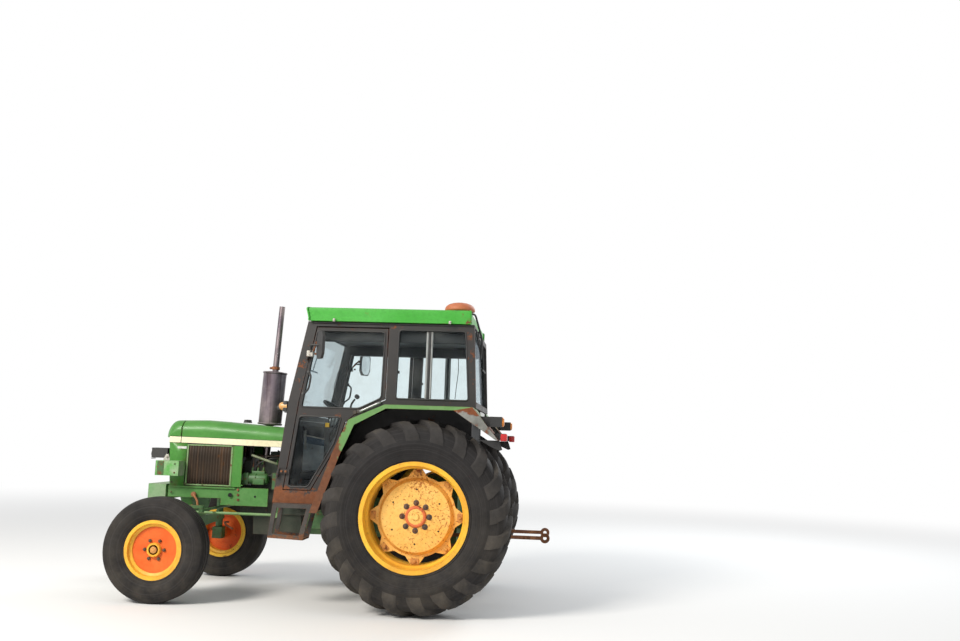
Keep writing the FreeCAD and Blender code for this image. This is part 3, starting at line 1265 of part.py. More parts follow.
def cab_floor():
    """Floor with the gearbox tunnel, raised deck under the seat, walls and front bulkhead."""
    t = dim.wall_t
    low, deck = dim.floor_top, dim.deck_top
    inner = dim.cab_y - dim.cab_t
    wall = dim.inner_wall_y
    front, riser = dim.floor_front_x, dim.deck_front_x
    arch_x = fender_line_x(low - t)
    rear_x = dim.tail_waist_x + dim.cross_w
    y, top = dim.tunnel_y, dim.tunnel_top

    def floor_section(side):
        return [(-side, low - t), (-side, low), (-y, low), (-y, top), (y, top), (y, low), (side, low),
                (side, low - t), (y - t, low - t), (y - t, top - t), (t - y, top - t), (t - y, low - t)]

    rear_wall_top = dim.tail_waist_z
    names = ("fender_high_front", "fender_knee", "fender_mid", "fender_front")
    wall_outline = [(rear_x - t, deck - t), (rear_x - t, rear_wall_top)] + [point(name) for name in names]
    wall_outline += [(arch_x, low - t), (riser - t, low - t), (riser - t, deck - t)]
    side_wall = plate("inner_wall", wall_outline, wall, t)
    head = dim.waist_z - dim.cross_w * 3
    bulkhead = rail("bulkhead", [(-inner, low), (-inner, head), (inner, head), (inner, low),
                                 (y, low), (y, top), (-y, top), (-y, low)], front - t, t)
    seat_rear = dim.seat_x - dim.seat_l / 2 - dim.back_t
    pieces = [
        rail("wide_floor", floor_section(inner), arch_x, front - arch_x),
        rail("foot_floor", floor_section(wall - t), riser - t, arch_x - riser + t),
        rail("riser", rect(t - wall, low - t, wall - t, deck), riser - t, t),
        box("deck", (rear_x - t, t - wall, deck - t), (riser, wall - t, deck)),
        box("seat_base", (seat_rear, -dim.seat_w / 3, deck),
            (dim.seat_x + dim.seat_l / 3, dim.seat_w / 3, deck + dim.base_h))]
    node(fuse("cab_floor_raw", pieces), "cab_floor")
    rear_wall = box("rear_wall", (rear_x - t, t - wall, deck), (rear_x, wall - t, rear_wall_top))
    tub = fuse("cab_tub", [rear_wall, side_wall, mirror("inner_wall_right", side_wall)])
    node(group("cab_walls_pair", [tub, bulkhead]), "cab_walls")


def interior():
    """Seat, console with the steering column, steering wheel, and levers on the tunnel."""
    base_top = dim.deck_top + dim.base_h
    rear = dim.seat_x - dim.seat_l / 2
    gap = dim.seat_gap
    node(box("cushion", (rear + gap, -dim.seat_w / 2, base_top),
             (rear + dim.seat_l, dim.seat_w / 2, base_top + dim.cushion_h)), "seat_cushion")
    node(box("back", (rear - dim.back_t, -dim.seat_w / 2, base_top),
             (rear, dim.seat_w / 2, base_top + dim.cushion_h + dim.back_h)), "seat_back")

    lean = math.radians(dim.wheel_tilt.number)
    drop = dim.wheel_z - dim.dash_top * 0.95
    foot_x = dim.wheel_x + drop * math.tan(lean)
    shift = math.sin(lean)
    rise = math.cos(lean)
    hub = dim.wheel_hub_h
    desk = plate("console_box", [(dim.dash_rear_x, dim.tunnel_top), (dim.floor_front_x - dim.wall_t, dim.tunnel_top),
                                 (dim.floor_front_x - dim.wall_t, dim.dash_top),
                                 (dim.dash_rear_x + hub, dim.dash_top)], dim.dash_y, dim.dash_y * 2)
    column_end = (dim.wheel_x, 0, dim.wheel_z)
    column = bar("column", column_end, (foot_x + hub, 0, dim.wheel_z - drop - hub / math.tan(lean)),
                 dim.column_r)
    node(fuse("console_raw", [desk, column]), "console")

    wheel = Part.makeTorus(dim.wheel_r.number, dim.wheel_rim_r.number)
    wheel.translate(FreeCAD.Vector(0, 0, hub.number / 2))
    solids = [Part.makeCylinder(dim.wheel_hub_r.number, hub.number)]
    count = round(dim.spoke_count.number)
    for index in range(count):
        spoke = Part.makeCylinder(dim.spoke_r.number, dim.wheel_r.number, FreeCAD.Vector(0, 0, hub.number / 2),
                                  FreeCAD.Vector(1, 0, 0))
        spoke.rotate(FreeCAD.Vector(0, 0, 0), FreeCAD.Vector(0, 0, 1), 360 * index / count)
        solids.append(spoke)
    piece = doc.addObject("Part::Feature", "steering_wheel_ring")
    piece.Shape = wheel.fuse(solids)
    piece.Placement.Rotation = FreeCAD.Rotation(FreeCAD.Vector(0, 1, 0), -dim.wheel_tilt.number)
    place(piece, dim.wheel_x, 0, dim.wheel_z)
    node(piece, "steering_wheel")

    levers = []
    for index, (x0, y0, x1, y1, z1) in enumerate(LEVERS):
        foot = (x0, y0, dim.tunnel_top + dim.lever_r)
        boot = bar("lever_boot_%d" % index, (x0, y0, dim.tunnel_top), foot, dim.lever_r * 3)
        rod = bar("lever_%d" % index, foot, (x1, y1, z1), dim.lever_r)
        ball = doc.addObject("Part::Sphere", "knob_%d" % index)
        ball.setExpression("Radius", dim.knob_r.formula)
        place(ball, x1, y1, z1)
        levers.append(fuse("lever_with_knob_%d" % index, [boot, rod, ball]))
    node(group("levers_group", levers), "levers")


def fenders():
    """Folded fender over each rear wheel, with its inner wall up to the window sill."""
    t = dim.fender_t
    names = ("fender_foot", "fender_front", "fender_mid", "fender_knee", "fender_high_front",
             "fender_high_rear", "fender_tail")
    outer = [point(name) for name in names]
    # The underside follows the outside one sheet thickness lower, towards the wheel
    shift = [(-1.05, 0), (-1.05, -0.2), (-1.05, -0.4), (-0.7, -0.9), (-0.2, -1), (0.4, -1), (1.3, 0)]
    inner = [(x + t * along, z + t * up) for (x, z), (along, up) in zip(outer, shift)]
    arch = plate("fender_arch", outer + inner[::-1], dim.fender_y, dim.fender_y - dim.inner_wall_y)
    both_sides("fender", arch)


def rear_axle():
    """Axle centre with its trumpets, the lift housing and the gearbox in front of it."""
    tip_y = dim.housing_tip_y
    z = dim.rear_tyre_r
    rear, mid = dim.gearbox_rear_x, dim.gearbox_mid_x
    centre = box("axle_centre", (rear, -dim.centre_y, dim.centre_low), (mid, dim.centre_y, dim.centre_top))
    lift = box("lift_housing", (rear, -dim.centre_y, dim.centre_top), (0, dim.centre_y, dim.lift_top))
    pieces = [centre, lift]
    bore_y = tip_y - dim.rear_shaft_in - dim.door_gap
    section = [(0, 0), (0, dim.housing_root_r), (dim.centre_y, dim.housing_root_r),
               (tip_y - dim.housing_tip_r, dim.housing_tip_r), (tip_y, dim.housing_tip_r),
               (tip_y, dim.rear_shaft_r + dim.bearing_gap), (bore_y, dim.rear_shaft_r + dim.bearing_gap),
               (bore_y, 0)]
    trumpet = turned("trumpet", section, z=z)
    pieces += [trumpet, mirror("trumpet_right", trumpet)]
    pin_end = dim.link_y + dim.link_t
    for side, sign in (("left", 1), ("right", -1)):
        pieces.append(bar("link_pin_" + side, (dim.link_x, 0, dim.link_z),
                          (dim.link_x, pin_end * sign, dim.link_z), dim.link_pin_r))
        ear_y = (dim.ball_pin_r * 4) * sign
        ear_t = dim.ball_pin_r * 2
        low = min(ear_y, ear_y - ear_t * sign, key=lambda value: value.number)
        ear = box("top_ear_" + side, (rear - dim.link_eye_r * 2, low, dim.top_link_z - dim.link_eye_r / 2),
                  (rear, low + ear_t, dim.top_link_z + dim.link_eye_r / 2))
        pieces.append(ear)
    half_w = dim.guard_w / 2
    guard_z = dim.pto_z + half_w * 0.7
    guard = rail("guard", [(-half_w, guard_z - half_w), (-half_w + dim.guard_t, guard_z - half_w),
                           (-half_w + dim.guard_t, guard_z - dim.guard_t), (half_w - dim.guard_t, guard_z - dim.guard_t),
                           (half_w - dim.guard_t, guard_z - half_w), (half_w, guard_z - half_w),
                           (half_w, guard_z), (-half_w, guard_z)], rear - dim.guard_l, dim.guard_l)
    pieces.append(guard)
    eye_x = rear - dim.link_eye_r * 1.5
    holes = [bar("top_hole", (eye_x, -dim.link_y, dim.top_link_z), (eye_x, dim.link_y, dim.top_link_z),
                 dim.top_link_hole_r),
             bar("lift_bore", (dim.link_x, -dim.link_y, dim.lift_z), (dim.link_x, dim.link_y, dim.lift_z),
                 dim.lift_shaft_r + dim.bearing_gap)]
    node(cut("rear_axle_cut", fuse("rear_axle_raw", pieces), group("rear_axle_holes", holes)), "rear_axle")

    front = dim.block_rear_x
    box_piece = rail("gearbox_case", [(-dim.gearbox_y, dim.gearbox_low + dim.timing_t), (-dim.gearbox_y * 0.7, dim.gearbox_low),
                                      (dim.gearbox_y * 0.7, dim.gearbox_low), (dim.gearbox_y, dim.gearbox_low + dim.timing_t),
                                      (dim.gearbox_y, dim.gearbox_top - dim.timing_t), (dim.gearbox_y * 0.7, dim.gearbox_top),
                                      (-dim.gearbox_y * 0.7, dim.gearbox_top), (-dim.gearbox_y, dim.gearbox_top - dim.timing_t)],
                     mid, front - mid)
    node(box_piece, "gearbox")


def hitch():
    """Lower links, lift arms, lift rods, take-off shaft and drawbar."""
    x, z, y = dim.link_x, dim.link_z, dim.link_y
    half_t = dim.link_t / 2
    end_x = x - dim.link_l
    rod_x = x - dim.lift_l
    outer = y + half_t
    half_h = dim.link_h / 2
    bar_plate = plate("link_bar", rect(end_x, z - half_h / 2, x, z + half_h / 2), outer, dim.link_t)
    eyes = [bar("link_root", (x, y - half_t, z), (x, outer, z), dim.link_eye_r),
            bar("link_tip", (end_x, y - half_t, z), (end_x, outer, z), dim.link_eye_r),
            bar("link_stud", (rod_x, y - half_t, z), (rod_x, outer + dim.link_t * 1.5, z), dim.link_pin_r)]
    holes = [bar("link_root_hole", (x, y - half_t, z), (x, outer, z), dim.link_pin_r + dim.bearing_gap),
             bar("link_tip_hole", (end_x, y - half_t, z), (end_x, outer, z), dim.link_hole_r)]
    left = cut("lower_link_left", fuse("lower_link_raw", [bar_plate] + eyes), group("lower_link_holes", holes))
    node(group("lower_link_pair", [left, mirror("lower_link_right", left)]), "lower_links")

    lift_z = dim.lift_z
    arm_out = outer + dim.door_gap + dim.lift_t
    arm_in = outer + dim.door_gap
    shaft = bar("lift_shaft", (x, -arm_out, lift_z), (x, arm_out, lift_z), dim.lift_shaft_r)
    arm = plate("lift_arm", rect(rod_x, lift_z - half_h / 2, x, lift_z + half_h / 2), arm_out, dim.lift_t)
    arm_ends = [bar("lift_arm_root", (x, arm_in, lift_z), (x, arm_out, lift_z), dim.lift_shaft_r * 1.6),
                bar("lift_arm_tip", (rod_x, arm_in, lift_z), (rod_x, arm_out, lift_z), dim.link_eye_r * 0.8)]
    left = fuse("lift_arm_left", [arm] + arm_ends)
    node(fuse("lift_arms_raw", [shaft, left, mirror("lift_arm_right", left)]), "lift_arms")

    rod_y = arm_out + dim.door_gap + dim.lift_rod_r
    foot_in = outer + dim.seat_gap
    rod = bar("lift_rod", (rod_x, rod_y, z), (rod_x, rod_y, lift_z), dim.lift_rod_r)
    foot = bar("lift_rod_foot", (rod_x, foot_in, z), (rod_x, rod_y + dim.lift_rod_r, z), dim.link_eye_r * 0.8)
    head = bar("lift_rod_head", (rod_x, arm_out + dim.seat_gap, lift_z),
               (rod_x, rod_y + dim.lift_rod_r, lift_z), dim.link_eye_r * 0.8)
    stud_hole = bar("lift_rod_hole", (rod_x, foot_in, z), (rod_x, outer + dim.link_t * 1.5 + dim.seat_gap, z),
                    dim.link_pin_r + dim.bearing_gap)
    left = cut("lift_rod_left", fuse("lift_rod_raw", [rod, foot, head]), stud_hole)
    node(group("lift_rod_pair", [left, mirror("lift_rod_right", left)]), "lift_rods")

    rear = dim.gearbox_rear_x
    shaft = bar("take_off", (rear, 0, dim.pto_z), (rear - dim.pto_l, 0, dim.pto_z), dim.pto_r)
    node(shaft, "pto_shaft")

    bar_low = dim.drawbar_z - dim.drawbar_t / 2
    bar_top = dim.drawbar_z + dim.drawbar_t / 2
    half_w = dim.drawbar_w / 2
    rear = dim.drawbar_rear_x
    tongue = slab("drawbar_bar", rect(rear, -half_w, rear + dim.drawbar_l, half_w), bar_low, dim.drawbar_t)
    clamp_rear = box("drawbar_clamp_rear", (dim.gearbox_rear_x, -dim.drawbar_w, bar_top),
                     (dim.gearbox_rear_x + dim.drawbar_w, dim.drawbar_w, dim.centre_low))
    clamp_front = box("drawbar_clamp_front", (rear + dim.drawbar_l - dim.drawbar_w, -half_w, bar_top),
                      (rear + dim.drawbar_l, half_w, dim.centre_low))
    hole = bar("drawbar_hole", (rear + half_w, 0, bar_low), (rear + half_w, 0, bar_top), dim.drawbar_hole_r)
    node(cut("drawbar_cut", fuse("drawbar_raw", [tongue, clamp_rear, clamp_front]), hole), "drawbar")


def steps():
    """A hanging step under each door: two flat frames and a tread between them."""
    names = ("step_front_top", "step_front_low", "step_rear_low", "step_rear_top")
    outline = [point(name) for name in names]
    w = dim.step_strap
    window = [(dim.step_front_top_x - w, dim.step_front_top_z - w), (dim.step_front_low_x - w * 1.05, dim.step_front_low_z + w),
              (dim.step_rear_low_x + w, dim.step_rear_low_z + w), (dim.step_rear_top_x + w * 1.2, dim.step_rear_top_z - w)]
    t = dim.bezel_t
    outer = plate("step_outer", outline, dim.step_y, t, [window])
    inner = plate("step_inner", outline, dim.step_y - dim.step_w + t, t, [window])
    tread = plate("step_tread", [(dim.step_front_low_x, dim.step_front_low_z), (dim.step_rear_low_x, dim.step_rear_low_z),
                                 (dim.step_rear_low_x, dim.step_rear_low_z + t), (dim.step_front_low_x, dim.step_front_low_z + t)],
                  dim.step_y, dim.step_w)
    top = plate("step_top", [(dim.step_rear_top_x, dim.foot_z - t), (dim.step_front_top_x, dim.foot_z - t),
                             (dim.step_front_top_x, dim.foot_z), (dim.step_rear_top_x, dim.foot_z)],
                dim.step_y, dim.step_w)
    left = fuse("step_left", [outer, inner, tread, top])
    node(group("step_pair", [left, mirror("step_right", left)]), "steps")


def main():
    rear_wheels()
    front_wheels()
    front_axle()
    knuckles()
    steering()
    front_support()
    engine()
    exhaust()
    hood_panels()
    lamps()
    signal_lamps()
    cab_frame()
    doors()
    cab_glass()
    roof()
    cab_floor()
    interior()
    fenders()
    rear_axle()
    hitch()
    steps()
    doc.recompute()
    failed = [item.Name for item in doc.Objects if set(item.State) & {"Invalid", "Error"}]
    if failed:
        raise SystemExit("failed: " + ", ".join(failed))
    for piece in NODES:
        if piece.Shape.isNull() or not piece.Shape.isValid() or not piece.Shape.Solids:
            raise SystemExit("bad shape: " + piece.Label)
    os.makedirs("parts", exist_ok=True)
    for piece in NODES:
        piece.Shape.exportStep("parts/" + piece.Label + ".step")
        box_now = piece.Shape.BoundBox
        print("%-18s %3d solids  x %7.1f %7.1f  y %7.1f %7.1f  z %7.1f %7.1f  %10.0f cm3" % (
            piece.Label, len(piece.Shape.Solids), box_now.XMin, box_now.XMax, box_now.YMin, box_now.YMax,
            box_now.ZMin, box_now.ZMax, piece.Shape.Volume / 1000))


main()
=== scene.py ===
# %% [markdown]
# # A farm tractor, dressed for its portrait
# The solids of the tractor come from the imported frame. This script gives them paint, rust and
# dust, and adds what is too fine for the solids: the bare stripe, gaskets, wipers, hoses,
# bolts and lamp lenses. Lengths in the helpers are millimetres from the rear axle, as in the
# part's own source, and `at` turns them into the frame's metres.

# %% load the frame
import math

import bmesh
import bpy
from mathutils import Matrix, Vector
from mathutils.bvhtree import BVHTree


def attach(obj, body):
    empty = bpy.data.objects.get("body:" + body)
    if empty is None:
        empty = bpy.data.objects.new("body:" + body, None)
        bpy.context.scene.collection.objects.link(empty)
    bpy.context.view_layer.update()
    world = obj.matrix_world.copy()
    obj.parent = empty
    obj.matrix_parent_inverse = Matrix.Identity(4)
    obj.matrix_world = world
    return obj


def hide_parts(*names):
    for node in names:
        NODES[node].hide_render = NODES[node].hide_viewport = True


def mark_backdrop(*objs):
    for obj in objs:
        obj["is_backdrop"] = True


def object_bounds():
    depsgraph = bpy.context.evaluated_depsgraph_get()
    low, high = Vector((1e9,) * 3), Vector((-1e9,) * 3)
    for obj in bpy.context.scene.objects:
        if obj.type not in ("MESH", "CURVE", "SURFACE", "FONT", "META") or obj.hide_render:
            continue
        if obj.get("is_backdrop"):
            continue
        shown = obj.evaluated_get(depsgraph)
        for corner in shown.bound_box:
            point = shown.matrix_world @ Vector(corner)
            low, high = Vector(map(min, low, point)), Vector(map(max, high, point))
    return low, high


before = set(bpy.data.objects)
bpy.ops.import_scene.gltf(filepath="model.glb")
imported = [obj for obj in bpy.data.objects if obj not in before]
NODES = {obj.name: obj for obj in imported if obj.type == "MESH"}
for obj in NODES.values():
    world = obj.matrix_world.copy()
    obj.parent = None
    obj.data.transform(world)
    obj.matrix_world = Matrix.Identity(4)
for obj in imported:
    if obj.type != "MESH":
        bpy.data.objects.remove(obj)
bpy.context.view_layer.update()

AXLE_X = -694


def at(x, y, z):
    """A place in the frame, from millimetres counted from the rear axle."""
    return Vector((x + AXLE_X, y, z)) / 1000


# %% [markdown]
# ## Camera
# The camera stands where the photographer stood: 7.6 m to the tractor's left, about level with
# the hood, looking a little upward, a little rolled, with a 34 mm lens.

# %% camera
EYE = Vector((-1.647, 7.645, 1.274))
YAW, TILT, ROLL = (math.radians(angle) for angle in (4.38, 7.71, 1.90))
ahead = Vector((math.sin(YAW), -math.cos(YAW), 0))
right = Vector((-math.cos(YAW), -math.sin(YAW), 0))
up = Vector((0, 0, 1))
look = ahead * math.cos(TILT) + up * math.sin(TILT)
head = up * math.cos(TILT) - ahead * math.sin(TILT)
side = right * math.cos(ROLL) + head * math.sin(ROLL)
head = head * math.cos(ROLL) - right * math.sin(ROLL)

camera = bpy.data.objects.new("camera", bpy.data.cameras.new("camera"))
bpy.context.scene.collection.objects.link(camera)
camera.data.lens = 34.06
camera.data.sensor_width = 36
camera.data.clip_end = 200
turn = Matrix((side, head, -look)).transposed().to_4x4()
camera.matrix_world = Matrix.Translation(EYE) @ turn
bpy.context.scene.camera = camera
print("camera looks", tuple(round(value, 3) for value in look))

# %% [markdown]
# ## Light
# The world is white and soft. One wide lamp high on the left and ahead stands for the sun, one
# behind lifts the far side. Nodes could be wired by hand in the editor; in a script two short
# helpers do the wiring, so that a recipe reads almost like a sentence.


# %% words for shader nodes
def feed(tree, socket, value):
    """Give a socket a link from another socket, or a plain value or colour of its own."""
    if isinstance(value, bpy.types.NodeSocket):
        tree.links.new(value, socket)
    elif socket.type == "RGBA":
        socket.default_value = (*value, 1)
    else:
        socket.default_value = value


def node(tree, kind, *inputs, **settings):
    """A shader node of a kind; inputs are (socket, value) pairs."""
    made = tree.nodes.new("ShaderNode" + kind)
    for setting, value in settings.items():
        setattr(made, setting, value)
    for socket, value in inputs:
        feed(tree, made.inputs[socket], value)
    return made


def math_of(tree, kind, first, second):
    return node(tree, "Math", (0, first), (1, second), operation=kind).outputs[0]


def material(name):
    """A new node material, with its tree and its shader."""
    made = bpy.data.materials.new(name)
    made.use_nodes = True
    return made, made.node_tree, made.node_tree.nodes["Principled BSDF"]


def seen_straight(tree):
    """1 for camera, mirror and glass rays, 0 for light."""
    path = node(tree, "LightPath").outputs
    both = math_of(tree, "MAXIMUM", path["Is Camera Ray"], path["Is Glossy Ray"])
    return math_of(tree, "MAXIMUM", both, path["Is Transmission Ray"])


# %% world and lamps
world = bpy.data.worlds.new("studio")
bpy.context.scene.world = world
world.use_nodes = True
sky = world.node_tree
soft = sky.nodes["Background"]
feed(sky, soft.inputs["Color"], (0.93, 0.96, 1.0))
feed(sky, soft.inputs["Strength"], 0.62)
plain_white = node(sky, "Background", ("Color", (1, 1, 1)), ("Strength", 1.0))
pick = node(sky, "MixShader", (0, seen_straight(sky)), (1, soft.outputs[0]), (2, plain_white.outputs[0]))
feed(sky, sky.nodes["World Output"].inputs["Surface"], pick.outputs[0])


def lamp(name, place, width, power, tint):
    """A square soft lamp that shines at the tractor's middle."""
    data = bpy.data.lights.new(name, "AREA")
    data.size = width
    data.energy = power
    data.color = tint
    made = bpy.data.objects.new(name, data)
    bpy.context.scene.collection.objects.link(made)
    made.location = place
    made.rotation_euler = (Vector((0, 0, 1)) - Vector(place)).to_track_quat("-Z", "Y").to_euler()
    return made


key_lamp = lamp("key_lamp", (5.0, 7.5, 7.0), 3.2, 1150, (1.0, 0.96, 0.90))
far_lamp = lamp("far_lamp", (-5.5, -6.0, 6.5), 4.0, 420, (0.92, 0.96, 1.0))
print("world and 2 lamps")

# %% [markdown]
# ## Floor
# The floor is one big square. Near the tractor it is real and takes the shadow. Further out its
# shader fades into plain white light, so that no horizon shows.

# %% floor
REACH = 60
floor_mesh = bpy.data.meshes.new("floor")
floor_mesh.from_pydata([(-REACH, -REACH, 0), (REACH, -REACH, 0), (REACH, REACH, 0), (-REACH, REACH, 0)],
                       [], [(0, 1, 2, 3)])
floor = bpy.data.objects.new("floor", floor_mesh)
bpy.context.scene.collection.objects.link(floor)
floor_paint, tree, shader = material("pale_floor")
feed(tree, shader.inputs["Base Color"], (0.80, 0.79, 0.77))
feed(tree, shader.inputs["Roughness"], 0.9)
feed(tree, shader.inputs["Specular IOR Level"], 0.1)
from_middle = node(tree, "VectorMath", (0, node(tree, "TexCoord").outputs["Object"]), operation="LENGTH")
fade = node(tree, "MapRange", ("Value", from_middle.outputs["Value"]), ("From Min", 3.5),
            ("From Max", 16.0), interpolation_type="SMOOTHSTEP")
amount = math_of(tree, "MULTIPLY", fade.outputs["Result"], seen_straight(tree))
glow = node(tree, "Emission", ("Strength", 1.0))
both = node(tree, "MixShader", (0, amount), (1, shader.outputs[0]), (2, glow.outputs[0]))
feed(tree, tree.nodes["Material Output"].inputs["Surface"], both.outputs[0])
floor.data.materials.append(floor_paint)
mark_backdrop(floor, key_lamp, far_lamp)
bpy.context.scene.view_settings.view_transform = "Standard"
print("floor", 2 * REACH, "m wide")

# %% [markdown]
# ## Paint, rust and dust
# Old paint is never one colour. It could be painted by hand in an image, but a recipe of noises
# needs no image and fits every piece. Every surface is this one recipe with its own numbers: two
# noises shift the colour, a third lets rust through, the Bevel node finds the edges where paint
# wears first, and dust gathers low down and on faces that look up.


# %% noise, range and mixing
def noise(tree, coords, scale, detail, rough):
    return node(tree, "TexNoise", ("Vector", coords), ("Scale", scale), ("Detail", detail),
                ("Roughness", rough)).outputs["Fac"]


def span(tree, value, low, high, to_low=0.0, to_high=1.0):
    """Stretch a value so that low..high becomes to_low..to_high, clamped."""
    return node(tree, "MapRange", ("Value", value), ("From Min", low), ("From Max", high),
                ("To Min", to_low), ("To Max", to_high)).outputs["Result"]


def mix(tree, factor, first, second):
    """Mix two colours, each a socket or a plain colour."""
    made = node(tree, "Mix", ("Factor", factor), data_type="RGBA")
    for port, value in zip([port for port in made.inputs if port.type == "RGBA"], (first, second)):
        feed(tree, port, value)
    return [port for port in made.outputs if port.type == "RGBA"][0]


def axes(tree, vector):
    return node(tree, "SeparateXYZ", (0, vector)).outputs


def times(colour, factor):
    return tuple(value * factor for value in colour)


# %% the recipe
RUST = (0.21, 0.075, 0.028)
DUST = (0.26, 0.22, 0.165)
MATERIALS = {}


def surface(name, colour, second=None, rust=0.25, rust_colour=RUST, edges=0.5, dust=0.35, rough=0.45,
            metal=0.0, grain=0.35, patch=3.0, streak=0.0, shine=0.5, coat=0.0, rusty_at=(), shade_under=None,
            speck=9.0, painted_shade_at=None):
    """A worn surface: base colour and its weathered second colour, then rust, worn edges, dust.

    rusty_at lists (axis, from, to): rust grows along that axis between the two, in metres.
    shade_under is painted shade, the colour of faces that look down. speck is how fine the rust
    spots are. painted_shade_at paints shade at one end: (axis, from, to, colour)."""
    made, tree, shader = material(name)
    MATERIALS[name] = made
    place = node(tree, "TexCoord").outputs["Object"]
    broad = noise(tree, place, patch, 5, 0.6)
    fine = noise(tree, place, 45.0, 3, 0.5)
    tint = mix(tree, span(tree, broad, 0.40, 0.66), colour, second or times(colour, 0.62))
    tint = mix(tree, span(tree, fine, 0.45, 0.75, 0, 0.25), tint, times(colour, 0.45))
    if streak:
        stretch = node(tree, "Mapping", ("Vector", place), ("Scale", (30, 30, 1.2))).outputs[0]
        runs = noise(tree, stretch, 1.0, 4, 0.6)
        tint = mix(tree, span(tree, runs, 0.48, 0.72, 0, streak), tint, rust_colour)
    spots = noise(tree, place, speck, 9, 0.72)
    clouds = noise(tree, place, 2.1, 2, 0.5)
    mask = math_of(tree, "ADD", spots, math_of(tree, "MULTIPLY", clouds, 0.35))
    for axis, begin, full in rusty_at:
        mask = math_of(tree, "ADD", mask, span(tree, axes(tree, place)[axis], begin, full, 0, 0.34))
    # Painted shade: the colour darkens towards one end, its edge made wavy by the broad noise.
    if painted_shade_at:
        axis, begin, full, shade = painted_shade_at
        wavy = math_of(tree, "ADD", axes(tree, place)[axis], math_of(tree, "MULTIPLY", broad, 0.12))
        tint = mix(tree, span(tree, wavy, begin, full), tint, shade)
    start = 0.86 - 0.30 * rust
    rusty = span(tree, mask, start, start + 0.05)
    if edges:
        bevel = node(tree, "Bevel", ("Radius", 0.006), samples=4).outputs["Normal"]
        flat = node(tree, "NewGeometry").outputs["Normal"]
        dot = node(tree, "VectorMath", (0, bevel), (1, flat), operation="DOT_PRODUCT").outputs["Value"]
        chips = span(tree, noise(tree, place, 14.0, 6, 0.7), 0.62 - 0.3 * edges, 0.66)
        worn = math_of(tree, "MULTIPLY", span(tree, dot, 0.985, 0.90), chips)
        rusty = math_of(tree, "MAXIMUM", rusty, worn)
    tint = mix(tree, rusty, tint, mix(tree, fine, rust_colour, times(rust_colour, 0.35)))
    shape = node(tree, "NewGeometry").outputs
    low = span(tree, axes(tree, shape["Position"])["Z"], 1.15, 0.05)
    facing = axes(tree, shape["Normal"])["Z"]
    # Painted shade: faces that look down take the shade colour.
    if shade_under:
        tint = mix(tree, span(tree, facing, -0.05, -0.25), tint, shade_under)
    dusty = math_of(tree, "MAXIMUM", low, span(tree, facing, 0.35, 1.0, 0, 0.8))
    cloud = span(tree, noise(tree, place, 6.0, 6, 0.65), 0.35, 0.75)
    dusty = math_of(tree, "MULTIPLY", math_of(tree, "MULTIPLY", dusty, cloud), dust)
    tint = mix(tree, dusty, tint, DUST)
    matt = math_of(tree, "ADD", span(tree, spots, 0.35, 0.7, rough - 0.08, rough + 0.12),
                   math_of(tree, "MULTIPLY", rusty, 0.35))
    matt = math_of(tree, "ADD", matt, math_of(tree, "MULTIPLY", dusty, 0.4))
    height = math_of(tree, "ADD", spots, math_of(tree, "MULTIPLY", rusty, 0.6))
    bump = node(tree, "Bump", ("Strength", grain), ("Distance", 0.002), ("Height", height))
    for socket, value in (("Base Color", tint), ("Roughness", matt), ("Normal", bump.outputs["Normal"]),
                          ("Specular IOR Level", shine), ("Coat Weight", coat)):
        feed(tree, shader.inputs[socket], value)
    if metal:
        feed(tree, shader.inputs["Metallic"], span(tree, rusty, 0, 1, metal, 0.0))
    return made


# %% rubber, plastic and glass
def smooth_stuff(name, colour, second=None, **more):
    """Plastic, rubber or light: the recipe without rust and worn edges."""
    return surface(name, colour, second, rust=-0.6, edges=0.0, **more)


def rubber(name, colour, dust, axle=None):
    """Tyre rubber: dry and dusty, with fine moulded rings round the axle at (x, z)."""
    made = smooth_stuff(name, colour, times(colour, 1.7), dust=dust, rough=0.75, grain=0.6, patch=5.0,
                        shine=0.25)
    if axle is None:
        return
    tree = made.node_tree
    inputs = tree.nodes["Principled BSDF"].inputs
    place = node(tree, "TexCoord").outputs["Object"]
    away = node(tree, "VectorMath", (0, place), (1, (axle[0], 0, axle[1])), operation="SUBTRACT")
    level = node(tree, "VectorMath", (0, away.outputs[0]), (1, (1, 0, 1)), operation="MULTIPLY")
    radius = node(tree, "VectorMath", (0, level.outputs[0]), operation="LENGTH").outputs["Value"]
    rings = noise(tree, node(tree, "CombineXYZ", ("X", radius)).outputs[0], 70.0, 3, 0.65)
    tint = inputs["Base Color"].links[0].from_socket
    normal = inputs["Normal"].links[0].from_socket
    tint = mix(tree, span(tree, rings, 0.50, 0.70, 0, 0.45), tint, times(colour, 5))
    groove = node(tree, "Bump", ("Strength", 0.7), ("Distance", 0.004), ("Height", rings),
                  ("Normal", normal))
    feed(tree, inputs["Base Color"], tint)
    feed(tree, inputs["Normal"], groove.outputs["Normal"])


def glass(name, tint, rough):
    """Dusty window glass that lets the light through."""
    made, tree, shader = material(name)
    MATERIALS[name] = made
    clear = node(tree, "BsdfTransparent", ("Color", tint)).outputs[0]
    gloss = node(tree, "BsdfGlossy", ("Roughness", rough), ("Color", (0.42, 0.47, 0.52))).outputs[0]
    dull = node(tree, "BsdfDiffuse", ("Color", (0.62, 0.62, 0.58))).outputs[0]
    place = node(tree, "TexCoord").outputs["Object"]
    dirt = span(tree, noise(tree, place, 4.0, 8, 0.7), 0.45, 0.85, 0.0, 0.08)
    film = node(tree, "MixShader", (0, dirt), (1, clear), (2, dull)).outputs[0]
    mirrored = math_of(tree, "MULTIPLY", node(tree, "Fresnel", ("IOR", 1.45)).outputs[0], 0.4)
    sheen = node(tree, "MixShader", (0, mirrored), (1, film), (2, gloss)).outputs[0]
    feed(tree, tree.nodes["Material Output"].inputs["Surface"], sheen)
    tree.nodes.remove(shader)


# %% [markdown]
# ## Colours: wheels
# The rims are yellow, the rear discs orange with fine rust spots, the front discs redder. Rust
# that runs along the edges comes from the recipe's worn edges, the spots from its speck.

